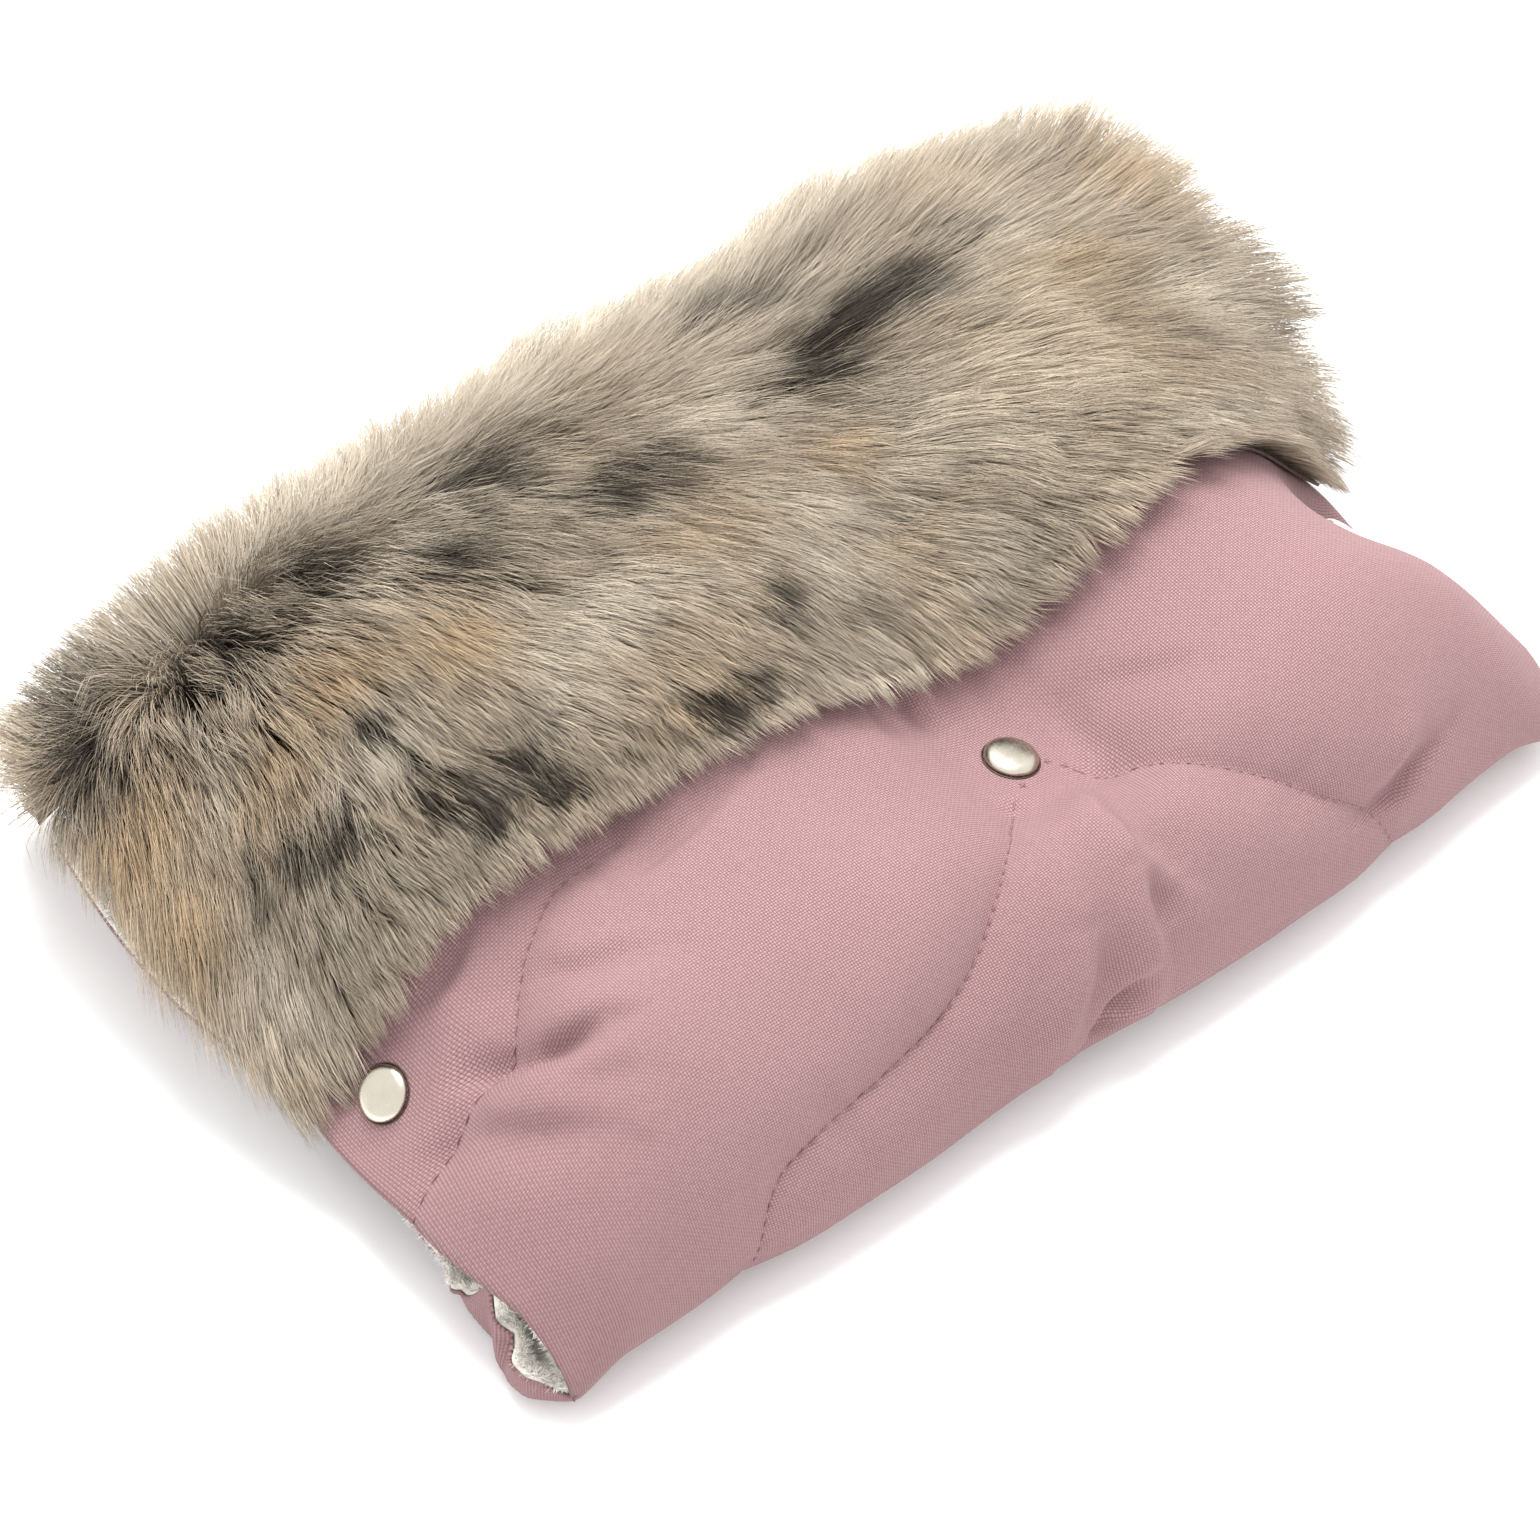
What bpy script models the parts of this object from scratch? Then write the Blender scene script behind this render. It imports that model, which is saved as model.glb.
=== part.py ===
# Hand warmer muff: a quilted, fleece-lined panel folded along its front edge, with a fur collar on top
# and three press studs that close it round a handlebar. Metres, +Z up, +X along the muff, -Y is the fold.
import math

import bmesh
import bpy
import numpy as np
from mathutils import Matrix, Vector

# Plan: x runs along the muff, d is the distance back from the fold
FOLD_Y = -0.1302
FOLD_Z = 0.0200
PLAN_SHIFT_X = -0.0054
LEFT_END = -0.171
LEFT_END_BULGE = 0.008
RIGHT_END = 0.172
RIGHT_CORNER_RECESS = 0.008
RIGHT_END_TAPER = 0.010
PANEL_DEPTH = 0.222
LOWER_INSET = 0.009
LOWER_CORNER = 0.006

# Upper panel: a tall arch over the hands, falling to the mouths and to the back rim
CROWN = 0.079
ARCH_DEPTH = 0.062
BACK_FALL_START = 0.178
BACK_RIM_Z = 0.060
MOUTH_FALL = 0.55
MOUTH_POWER = {"left": 2.3, "right": 3.6}
RIGHT_POWER_FALL = 1.3
MOUTH_RIM_Z = 0.030
MOUTH_CURL = 0.016
MOUTH_BACK_RISE = 0.020
WAIST_X = 0.034
WAIST_WIDTH = 0.036
WAIST_DEPTH = 0.013

# Lower panel: flat on the table, curled up at its edges
LOWER_CURL = 0.030
LOWER_END_RISE = 0.008
LOWER_BACK_RISE = 0.014

# Cloth layers, each a little clear of the next
SHELL = 0.0010
LINING = 0.0017
CLEARANCE = 0.0004
UPPER_LOFT = 0.0135
LOWER_LOFT = 0.0105
HEM = 0.0048
PINCHED = 0.0045

# Quilting channels
CHANNEL_DEPTH = 0.0055
CHANNEL_WIDTH = 0.009

# Press studs: heights run along each stud's own axis from the outer cloth, zero at the shell
PINCH_RADIUS = 0.0132
CAP_RADIUS = 0.0075
BARREL_RADIUS = 0.0021
EYELET_RADIUS = 0.0025
SOCKET_RADIUS = 0.0063
STUD_RADIUS = 0.0055
STACK = 0.0148
TURNS = 16

# Fur collar: its pile rises from the front edge to the middle, then to a roll over the back rim.
# It sinks beside the muff's waist and in a crease before the left part of the roll, swells at its right end,
# and its roll is thinner over both hands
FUR_FRONT = 0.108
FUR_FRONT_REACH = 0.014
FUR_BACKING = 0.0014
FUR_DROP = 0.027
PILE_FRONT = 0.0110
PILE_MIDDLE = 0.0220
PILE_ROLL = 0.0074
PILE_CREST = 0.003
PILE_HOLLOW = 0.0055
PILE_HOLLOW_X = 0.060
PILE_CREASE = 0.0100
PILE_SWELL = 0.0055
PILE_THIN = 0.0028
PILE_RIGHT_REACH = 0.0168
PILE_CORNER_TRIM = 0.012

# Each press stud: middle of its cap on the shell as (x, d, z), and the way it faces
STUDS = {
    "left": ((-0.167, 0.088, 0.040), (-0.68, 0.0, 0.73)),
    "middle": ((0.022, 0.068, 0.052), (0.22, 0.03, 0.97)),
    "right": ((0.161, 0.088, 0.028), (0.68, 0.0, 0.73)),
}
# Quilting lines on the upper panel, each from (x, d) to (x, d)
QUILTING = (
    ((0.022, 0.068), (-0.108, 0.0)),
    ((0.022, 0.068), (0.105, 0.0)),
    ((-0.090, 0.098), (-0.176, 0.058)),
    ((0.092, 0.098), (0.170, 0.058)),
)
# Grid of the cloth: widest cells along the muff, and rows back from the fold
STUD_CELL = 0.0088
UPPER_CELL = 0.0205
LOWER_CELL = 0.0340
UPPER_ROWS = (0, 0.002, 0.008, 0.017, 0.029, 0.044, 0.059, 0.068, 0.078, 0.088, 0.097,
              0.112, 0.130, 0.150, 0.170, 0.190, 0.206, 0.217, 0.222)
LOWER_ROWS = (0, 0.002, 0.008, 0.018, 0.030, 0.045, 0.059, 0.068, 0.078, 0.088, 0.097,
              0.115, 0.150, 0.185, 0.215, 0.222)

ROSE = (0.508, 0.259, 0.283)
CREAM = (0.80, 0.74, 0.65)
WADDING_WHITE = (0.85, 0.85, 0.83)
FUR_TAN = (0.36, 0.29, 0.22)
BACKING_GREY = (0.24, 0.20, 0.17)
NICKEL = (0.66, 0.60, 0.50)


def clear_scene():
    for thing in list(bpy.data.objects):
        bpy.data.objects.remove(thing, do_unlink=True)


def material(name, colour, roughness, metallic=0.0):
    made = bpy.data.materials.new(name)
    made.use_nodes = True
    shader = made.node_tree.nodes["Principled BSDF"]
    shader.inputs["Base Color"].default_value = (*colour, 1.0)
    shader.inputs["Roughness"].default_value = roughness
    shader.inputs["Metallic"].default_value = metallic
    return made


def pivot(name, location):
    empty = bpy.data.objects.new(name, None)
    empty.location = location
    bpy.context.scene.collection.objects.link(empty)
    return empty


def add_object(name, mesh, surface, parent):
    """Link a mesh whose points are in world metres under a pivot."""
    mesh.transform(Matrix.Translation(-parent.location))
    mesh.materials.append(surface)
    made = bpy.data.objects.new(name, mesh)
    made.parent = parent
    bpy.context.scene.collection.objects.link(made)
    return made


def smooth(value, low, high):
    t = np.clip((value - low) / (high - low), 0.0, 1.0)
    return t * t * (3.0 - 2.0 * t)


def unit(vector):
    return np.array(vector) / np.linalg.norm(vector)


def left_end(d):
    return LEFT_END - LEFT_END_BULGE * smooth(d, 0.0, 0.08)


def right_end(d):
    return RIGHT_END - RIGHT_END_TAPER * smooth(d, 0.085, 0.135)


def grid_fractions(cell, depth, inset):
    """Fractions along a panel: lines through and beside each stud, with even cells between them."""
    marks = [0.0, 1.0]
    for stud in STUDS.values():
        point, _ = stud_plane(stud, depth)
        start = left_end(point[1]) + inset
        length = right_end(point[1]) - inset - start
        marks += [(point[0] + beside - start) / length for beside in (-STUD_CELL, 0.0, STUD_CELL)]
    marks.sort()
    fractions = [0.0]
    for low, high in zip(marks, marks[1:]):
        cells = max(1, math.ceil((high - low) * (RIGHT_END - LEFT_END) / cell))
        fractions += [low + (high - low) * k / cells for k in range(1, cells + 1)]
    return fractions


def plan_grid(fractions, depths, inset=0.0):
    """Plan points of a panel, rows along the muff and columns away from the fold."""
    t, d = np.meshgrid(np.array(fractions), np.array(depths), indexing="ij")
    pulled = inset * smooth(d, 0.030, 0.06) * (1.0 - smooth(d, 0.12, 0.17))
    if inset:
        pulled = pulled - LOWER_CORNER * np.sin(np.pi * np.clip(d / 0.04, 0.0, 1.0)) ** 2
    start = left_end(d) + pulled
    x = start + (right_end(d) - pulled - start) * t
    return x, d, t


def stud_plane(stud, depth):
    """Point and facing of a stud's cloth plane, at a depth under its cap."""
    point, facing = stud
    facing = unit(facing)
    return np.array(point) - depth * facing, facing


def stud_distance(x, d, stud, depth):
    point, _ = stud_plane(stud, depth)
    return np.maximum(np.hypot(x - point[0], d - point[1]) - PINCH_RADIUS, 0.0)


def pinch(z, x, d, stud, depth, reach, tilt_limit):
    """Draw the cloth to a stud: flat under it and easing out over its reach."""
    point, facing = stud_plane(stud, depth)
    along = np.clip(x - point[0], -tilt_limit, tilt_limit)
    back = np.clip(d - point[1], -tilt_limit, tilt_limit)
    plane = point[2] - (facing[0] * along + facing[1] * back) / facing[2]
    hold = np.exp(-(stud_distance(x, d, stud, depth) / reach) ** 1.25)
    hold = np.clip((hold - 0.02) / 0.98, 0.0, 1.0)
    return z + (plane - z) * hold


def line_distance(x, d, start, end):
    start = np.array(start)
    along = np.array(end) - start
    t = ((x - start[0]) * along[0] + (d - start[1]) * along[1]) / along.dot(along)
    t = np.clip(t, 0.0, 1.0)
    return np.hypot(x - start[0] - along[0] * t, d - start[1] - along[1] * t)


def upper_base(x, d, t):
    """Outside of the upper panel before it is sewn down: arch, back fall, waist and mouths."""
    rise = np.sqrt(1.0 - np.clip(1.0 - d / ARCH_DEPTH, 0.0, 1.0) ** 2)
    z = FOLD_Z + (CROWN - FOLD_Z) * rise
    back = np.clip((d - BACK_FALL_START) / (PANEL_DEPTH - BACK_FALL_START), 0.0, 1.0)
    z = z - (CROWN - BACK_RIM_Z) * (1.0 - np.sqrt(1.0 - 0.98 * back ** 2))
    waist = WAIST_DEPTH * smooth(d, 0.03, 0.12) * (1.0 - 0.5 * smooth(d, 0.14, 0.20))
    z = z - waist * np.exp(-((x - WAIST_X) / WAIST_WIDTH) ** 2)
    mouth = np.clip((np.abs(2.0 * t - 1.0) - MOUTH_FALL) / (1.0 - MOUTH_FALL), 0.0, 1.0)
    right_power = MOUTH_POWER["right"] - RIGHT_POWER_FALL * smooth(d, 0.03, 0.07)
    mouth = mouth ** np.where(t < 0.5, MOUTH_POWER["left"], right_power)
    rim = FOLD_Z + (MOUTH_RIM_Z - FOLD_Z) * np.sqrt(1.0 - np.clip(1.0 - d / MOUTH_CURL, 0.0, 1.0) ** 2)
    rim = rim + MOUTH_BACK_RISE * smooth(d, 0.10, 0.20)
    return z * (1.0 - mouth) + rim * mouth


def upper_height(x, d, t):
    """Outside of the upper panel, drawn down along its quilting and at its studs."""
    z = upper_base(x, d, t)
    lift = smooth(d, 0.0, 0.03) * smooth(1.0 - np.abs(2.0 * t - 1.0), 0.0, 0.25)
    for start, end in QUILTING:
        z = z - lift * CHANNEL_DEPTH * np.exp(-(line_distance(x, d, start, end) / CHANNEL_WIDTH) ** 2)
    for name, stud in STUDS.items():
        reach = 0.030 if name == "middle" else 0.012
        z = pinch(z, x, d, stud, 0.0, reach, 0.020)
    return z


def lower_base(x, d, t):
    """Underside of the lower panel: flat, and curled up to the fold, the mouths and the back."""
    curl = np.clip(1.0 - d / LOWER_CURL, 0.0, 1.0)
    z = FOLD_Z * (1.0 - np.sqrt(1.0 - curl ** 2))
    away = smooth(d, 0.01, 0.05)
    ends = np.clip((np.abs(2.0 * t - 1.0) - 0.80) / 0.20, 0.0, 1.0)
    z = z + away * LOWER_END_RISE * ends ** 2
    return z + LOWER_BACK_RISE * np.clip((d - 0.182) / 0.040, 0.0, 1.0) ** 2


def lower_height(x, d, t):
    """Underside of the lower panel, drawn up at its studs."""
    z = lower_base(x, d, t)
    for name, stud in STUDS.items():
        reach = 0.026 if name == "middle" else 0.017
        z = pinch(z, x, d, stud, STACK, reach, 0.0135)
    return z


def surface_points(x, d, z):
    """World points; the fold's right corner is rounded back from the straight line of the hinge."""
    recess = RIGHT_CORNER_RECESS * smooth(x, 0.085, 0.155) * (1.0 - smooth(d, 0.0, 0.07))
    return np.stack([x + PLAN_SHIFT_X, FOLD_Y + d + recess, z], axis=-1)


def thickness_ways(x, d, base, depth):
    """Upward unit ways through a panel: square to its smooth form, level at the fold, along each stud."""
    points = surface_points(x, d, base)
    ways = np.cross(np.gradient(points, axis=0), np.gradient(points, axis=1))
    ways[:, 0, 0] = 0.0
    ways[:, 0, 2] = 0.0
    ways = ways / np.linalg.norm(ways, axis=-1, keepdims=True)
    for stud in STUDS.values():
        near = np.exp(-(stud_distance(x, d, stud, depth) / 0.015) ** 2)[..., None]
        ways = ways * (1.0 - near) + stud_plane(stud, depth)[1] * near
    return ways / np.linalg.norm(ways, axis=-1, keepdims=True)


def loft(x, d, full, depth):
    """Thickness of a panel: full in the middle, thin at its hems, its fold and its studs."""
    edge = np.minimum(x - left_end(d), right_end(d) - x)
    edge = np.minimum(edge, PANEL_DEPTH - d)
    swell = 1.0 - np.exp(-(np.maximum(edge, 0.0) / 0.016) ** 1.3)
    swell = swell * (0.35 + 0.65 * smooth(d, 0.0, 0.03))
    thick = HEM + (full - HEM) * swell
    for stud in STUDS.values():
        near = np.exp(-(stud_distance(x, d, stud, depth) / 0.016) ** 1.5)
        thick = thick + (PINCHED - thick) * near
    return thick


def slab(name, over, under, surface, parent):
    """One closed body between two grids of points that share their layout."""
    rows, columns = over.shape[:2]
    form = bmesh.new()
    top = [[form.verts.new(over[i, j]) for j in range(columns)] for i in range(rows)]
    low = [[form.verts.new(under[i, j]) for j in range(columns)] for i in range(rows)]
    for i in range(rows - 1):
        for j in range(columns - 1):
            a, b = top[i][j], top[i + 1][j]
            c, e = top[i + 1][j + 1], top[i][j + 1]
            form.faces.new((a, b, c))
            form.faces.new((a, c, e))
            a, b = low[i][j], low[i + 1][j]
            c, e = low[i + 1][j + 1], low[i][j + 1]
            form.faces.new((a, c, b))
            form.faces.new((a, e, c))
    rim = [(i, 0) for i in range(rows)]
    rim += [(rows - 1, j) for j in range(1, columns)]
    rim += [(i, columns - 1) for i in range(rows - 2, -1, -1)]
    rim += [(0, j) for j in range(columns - 2, 0, -1)]
    for (i, j), (k, m) in zip(rim, rim[1:] + rim[:1]):
        form.faces.new((top[k][m], top[i][j], low[i][j], low[k][m]))
    bmesh.ops.recalc_face_normals(form, faces=form.faces)
    mesh = bpy.data.meshes.new(name)
    form.to_mesh(mesh)
    form.free()
    return add_object(name, mesh, surface, parent)


def stud_frame(stud):
    """Matrix that takes a stud's own axis, +Z out of the cap, to where the stud sits."""
    point, facing = stud
    turn = Vector((0, 0, 1)).rotation_difference(Vector(facing).normalized())
    place = surface_points(*(np.array(value) for value in point))
    return Matrix.Translation(Vector(place)) @ turn.to_matrix().to_4x4()


def pierce(layer):
    """Eyelet holes for the three stud barrels, by one cutter per stud."""
    for name, stud in STUDS.items():
        cutter = bpy.data.objects.get("eyelet_cutter_" + name)
        if cutter is None:
            form = bmesh.new()
            bmesh.ops.create_cone(form, cap_ends=True, segments=12, radius1=EYELET_RADIUS,
                                  radius2=EYELET_RADIUS, depth=0.05)
            form.transform(stud_frame(stud))
            mesh = bpy.data.meshes.new("eyelet_cutter_" + name)
            form.to_mesh(mesh)
            form.free()
            cutter = bpy.data.objects.new("eyelet_cutter_" + name, mesh)
            cutter.hide_render = True
            cutter.display_type = "WIRE"
            bpy.context.scene.collection.objects.link(cutter)
        hole = layer.modifiers.new("eyelet_" + name, "BOOLEAN")
        hole.operation = "DIFFERENCE"
        hole.solver = "EXACT"
        hole.object = cutter


def revolve(name, profile, stud, surface, parent):
    """Turn a closed profile of (radius, height) about a stud's axis."""
    form = bmesh.new()
    rings = []
    for radius, height in profile:
        if radius == 0.0:
            rings.append([form.verts.new((0.0, 0.0, height))])
            continue
        angles = [2.0 * math.pi * k / TURNS for k in range(TURNS)]
        rings.append([form.verts.new((radius * math.cos(a), radius * math.sin(a), height)) for a in angles])
    for here, there in zip(rings, rings[1:] + rings[:1]):
        if len(here) == 1 and len(there) == 1:
            continue
        for k in range(TURNS):
            corners = [here[k % len(here)], here[(k + 1) % len(here)],
                       there[(k + 1) % len(there)], there[k % len(there)]]
            form.faces.new(list(dict.fromkeys(corners)))
    bmesh.ops.recalc_face_normals(form, faces=form.faces)
    form.transform(stud_frame(stud))
    mesh = bpy.data.meshes.new(name)
    form.to_mesh(mesh)
    form.free()
    return add_object(name, mesh, surface, parent)


def panel_layers(prefix, outer, inwards, thick, surfaces, parent):
    """Shell, wadding and lining of one panel, from its outer cloth inwards."""
    thick = thick[..., None]
    shell_under = outer + inwards * SHELL
    wadding_over = outer + inwards * (SHELL + CLEARANCE)
    wadding_under = outer + inwards * (thick - LINING - CLEARANCE)
    lining_over = outer + inwards * (thick - LINING)
    lining_under = outer + inwards * thick
    inner = (slice(1, -1), slice(0, -1))
    layers = [
        slab(prefix + "_shell", outer, shell_under, surfaces["shell"], parent),
        slab(prefix + "_wadding", wadding_over[inner], wadding_under[inner], surfaces["wadding"], parent),
        slab(prefix + "_lining", lining_over, lining_under, surfaces["lining"], parent),
    ]
    for layer in layers:
        pierce(layer)


def upper_panel(surfaces, parent):
    x, d, t = plan_grid(grid_fractions(UPPER_CELL, 0.0, 0.0), UPPER_ROWS)
    outer = surface_points(x, d, upper_height(x, d, t))
    inwards = -thickness_ways(x, d, upper_base(x, d, t), 0.0)
    panel_layers("upper", outer, inwards, loft(x, d, UPPER_LOFT, 0.0), surfaces, parent)


def lower_panel(surfaces, parent):
    x, d, t = plan_grid(grid_fractions(LOWER_CELL, STACK, LOWER_INSET), LOWER_ROWS, LOWER_INSET)
    outer = surface_points(x, d, lower_height(x, d, t))
    outer[:, 0, 2] = FOLD_Z - CLEARANCE
    inwards = thickness_ways(x, d, lower_base(x, d, t), STACK)
    panel_layers("lower", outer, inwards, loft(x, d, LOWER_LOFT, STACK), surfaces, parent)


def fur_path():
    """Grid over the back of the upper panel and down behind its rim, where the fur is sewn."""
    x, d, t = plan_grid(grid_fractions(UPPER_CELL, 0.0, 0.0), UPPER_ROWS)
    panel = surface_points(x, d, upper_height(x, d, t))
    panel[..., 0] += (RIGHT_END - right_end(d)) * smooth(t, 0.85, 1.0) * smooth(d, 0.115, 0.160)
    sewn = d[0] >= FUR_FRONT
    points = [panel[:, sewn]]
    ways = [thickness_ways(x, d, upper_base(x, d, t), 0.0)[:, sewn]]
    rim = panel[:, -1]
    for reach, share in ((0.0050, 0.25), (0.0070, 0.60), (0.0075, 1.0)):
        row = rim + np.array([0.0, reach, 0.0])
        row[:, 2] = rim[:, 2] - share * np.minimum(FUR_DROP, rim[:, 2] - 0.024)
        points.append(row[:, None])
        ways.append(np.broadcast_to([0.0, 1.0, 0.0], row.shape)[:, None])
    return np.concatenate(points, axis=1), np.concatenate(ways, axis=1), t[:, 0]


def fur_collar(surfaces, parent):
    """The knitted backing of the fur, and its pile as one soft mat with a roll over the back rim."""
    path, normals, t = fur_path()
    slab("fur_backing", path + normals * (CLEARANCE + FUR_BACKING), path + normals * CLEARANCE,
         surfaces["backing"], parent)
    steps = np.linalg.norm(np.diff(path, axis=1), axis=-1).mean(axis=0)
    w = np.concatenate([[0.0], np.cumsum(steps)])
    rise = PILE_FRONT + (PILE_MIDDLE - PILE_FRONT) * smooth(w, 0.0, 0.070)
    rise = rise + PILE_ROLL * smooth(w, 0.092, 0.118) - 0.010 * smooth(w, 0.137, 0.150)
    x = path[..., 0]
    hollow = np.exp(-((x - PILE_HOLLOW_X) / 0.034) ** 2) * smooth(w, 0.010, 0.040)
    crease = smooth(x, -0.190, -0.155) * (1.0 - smooth(x, -0.110, -0.050))
    crease = crease * np.exp(-((w - 0.106) / 0.012) ** 2)
    swell = smooth(x, 0.130, 0.170) * (1.0 - smooth(w, 0.105, 0.125))
    thin = smooth(x, -0.182, -0.160) * (1.0 - smooth(x, -0.045, -0.010))
    thin = (thin + smooth(x, 0.090, 0.115) * (1.0 - smooth(x, 0.150, 0.170))) * smooth(w, 0.095, 0.112)
    ends = np.abs(2.0 * t - 1.0)
    rounding = 1.0 - 0.35 * np.clip((ends - 0.82) / 0.18, 0.0, 1.0) ** 2
    rise = rise[None, :] - PILE_HOLLOW * hollow - PILE_CREASE * crease + PILE_SWELL * swell - PILE_THIN * thin
    rise = rise * rounding[:, None]
    under = path + normals * (2.0 * CLEARANCE + FUR_BACKING)
    over = under + normals * np.array([0.5, 1.0, 1.0]) * rise[..., None]
    over[..., 2] += PILE_CREST * np.exp(-((w - 0.112) / 0.014) ** 2)
    over[:, 0, 1] -= FUR_FRONT_REACH
    over[:, 1, 1] -= 0.4 * FUR_FRONT_REACH
    back = smooth(w, 0.015, 0.070)
    roll = smooth(w, 0.090, 0.125)
    for column, share in ((0, 1.0), (1, 0.5)):
        over[-1 - column, :, 0] += share * PILE_RIGHT_REACH * back * (1.0 - 0.4 * roll)
    for end in (0, -1):
        over[end, :, 1] += PILE_CORNER_TRIM * (1.0 - back)
        over[end, :, 2] -= 0.003 * back
    over[..., 2] = np.maximum(over[..., 2], 0.006)
    slab("fur_pile", over, under, surfaces["pile"], parent)


def press_stud(name, stud, surfaces, upper, lower):
    """Cap and socket riveted through the upper panel, stud and post through the lower one."""
    under_panel = -(PINCHED + 0.0003)
    mate = under_panel - 0.0036
    base = -(STACK - PINCHED) + 0.0003
    cap = ((0.0, 0.0030), (0.0045, 0.0027), (0.0067, 0.0019), (CAP_RADIUS, 0.0010), (0.0071, 0.0003),
           (BARREL_RADIUS, 0.0003), (BARREL_RADIUS, under_panel - 0.0007), (0.0, under_panel - 0.0007))
    socket = ((EYELET_RADIUS, under_panel), (0.0059, under_panel), (SOCKET_RADIUS, under_panel - 0.0006),
              (SOCKET_RADIUS, mate + 0.0006), (0.0058, mate), (0.0037, mate), (0.0034, mate + 0.0008),
              (0.0038, mate + 0.0014), (0.0038, under_panel - 0.0010), (EYELET_RADIUS, under_panel - 0.0010))
    head = under_panel - 0.0014
    ball = ((0.0, head), (0.0024, head - 0.0001), (0.0031, head - 0.0007), (0.0031, head - 0.0013),
            (0.0028, head - 0.0019), (0.0028, base + 0.0011), (0.0051, base + 0.0010),
            (STUD_RADIUS, base + 0.0006), (0.0053, base), (EYELET_RADIUS - 0.0001, base),
            (EYELET_RADIUS - 0.0001, head - 0.0010), (0.0, head - 0.0010))
    foot = -(STACK + 0.0003)
    post = ((0.0, head - 0.0014), (0.0019, head - 0.0014), (0.0019, foot), (0.0052, foot),
            (STUD_RADIUS, foot - 0.0005), (0.0046, foot - 0.0011), (0.0, foot - 0.0013))
    revolve("snap_cap_" + name, cap, stud, surfaces["nickel"], upper)
    revolve("snap_socket_" + name, socket, stud, surfaces["nickel"], upper)
    revolve("snap_stud_" + name, ball, stud, surfaces["nickel"], lower)
    revolve("snap_post_" + name, post, stud, surfaces["nickel"], lower)


def main():
    clear_scene()
    surfaces = {
        "shell": material("rose_canvas", ROSE, 0.8),
        "wadding": material("polyester_wadding", WADDING_WHITE, 0.95),
        "lining": material("cream_fleece", CREAM, 0.95),
        "backing": material("fur_backing_cloth", BACKING_GREY, 0.9),
        "pile": material("fur_fibre", FUR_TAN, 0.85),
        "nickel": material("champagne_nickel", NICKEL, 0.3, 1.0),
    }
    lower = pivot("lower_body", (0.0, 0.0, 0.0))
    upper = pivot("fold_hinge", (0.0, FOLD_Y, FOLD_Z))
    lower_panel(surfaces, lower)
    upper_panel(surfaces, upper)
    fur_collar(surfaces, upper)
    for name, stud in STUDS.items():
        press_stud(name, stud, surfaces, upper, lower)


main()
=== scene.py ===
import math

import bmesh
import bpy
import numpy as np
from mathutils import Matrix, Vector
from mathutils.bvhtree import BVHTree
from mathutils.kdtree import KDTree


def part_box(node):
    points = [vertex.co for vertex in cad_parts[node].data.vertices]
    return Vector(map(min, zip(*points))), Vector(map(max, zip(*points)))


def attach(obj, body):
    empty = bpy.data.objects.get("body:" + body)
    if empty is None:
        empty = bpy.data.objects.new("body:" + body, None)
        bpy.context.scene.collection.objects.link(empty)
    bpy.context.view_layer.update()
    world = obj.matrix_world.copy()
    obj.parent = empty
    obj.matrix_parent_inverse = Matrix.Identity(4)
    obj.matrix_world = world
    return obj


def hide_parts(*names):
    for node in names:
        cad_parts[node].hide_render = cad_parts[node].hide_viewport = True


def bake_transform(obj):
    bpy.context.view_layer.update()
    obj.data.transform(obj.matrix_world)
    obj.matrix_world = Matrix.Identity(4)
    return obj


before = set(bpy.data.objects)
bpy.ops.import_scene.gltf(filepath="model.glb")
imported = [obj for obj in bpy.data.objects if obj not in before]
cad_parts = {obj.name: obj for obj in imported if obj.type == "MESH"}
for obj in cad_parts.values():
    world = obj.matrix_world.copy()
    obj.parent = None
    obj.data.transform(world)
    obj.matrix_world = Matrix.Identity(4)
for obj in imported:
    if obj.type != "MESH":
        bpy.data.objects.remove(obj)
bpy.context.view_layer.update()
UPPER, LOWER = "upper_panel", "lower_panel"
MM = 0.001

# Camera, fitted to the photograph's 1540 pixel frame
CAMERA_AZIMUTH = -38.0
CAMERA_ELEVATION = 50.0
CAMERA_DISTANCE = 1.35
CAMERA_LENS = 118.3
CAMERA_TARGET = (-0.0296, -0.0180, 0.040)

# Plan of the panels: x along the muff, d back from the fold, as in the solids. A pair of places says where
# something begins and where it is complete; with a size before them, that size grows between the places
FOLD_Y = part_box("upper_shell")[0].y
FOLD_Z = 0.0200
PLAN_SHIFT_X = -0.0054
LEFT_END = -0.171
LEFT_END_BULGE = (0.008, 0.0, 0.06)
MOUTH_FLARE = 0.003
RIGHT_END = 0.172
RIGHT_CORNER_RECESS = (0.008, 0.085, 0.155)
RECESS_FALL = (0.0, 0.07)
RIGHT_END_TAPER = (0.010, 0.085, 0.135)
PANEL_DEPTH = 0.222
LOWER_INSET = 0.004
INSET_D = ((0.038, 0.056), (0.12, 0.17))
FOLD_DROOP = 0.008
DROOP_FALL = (0.0, 0.022)

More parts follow.
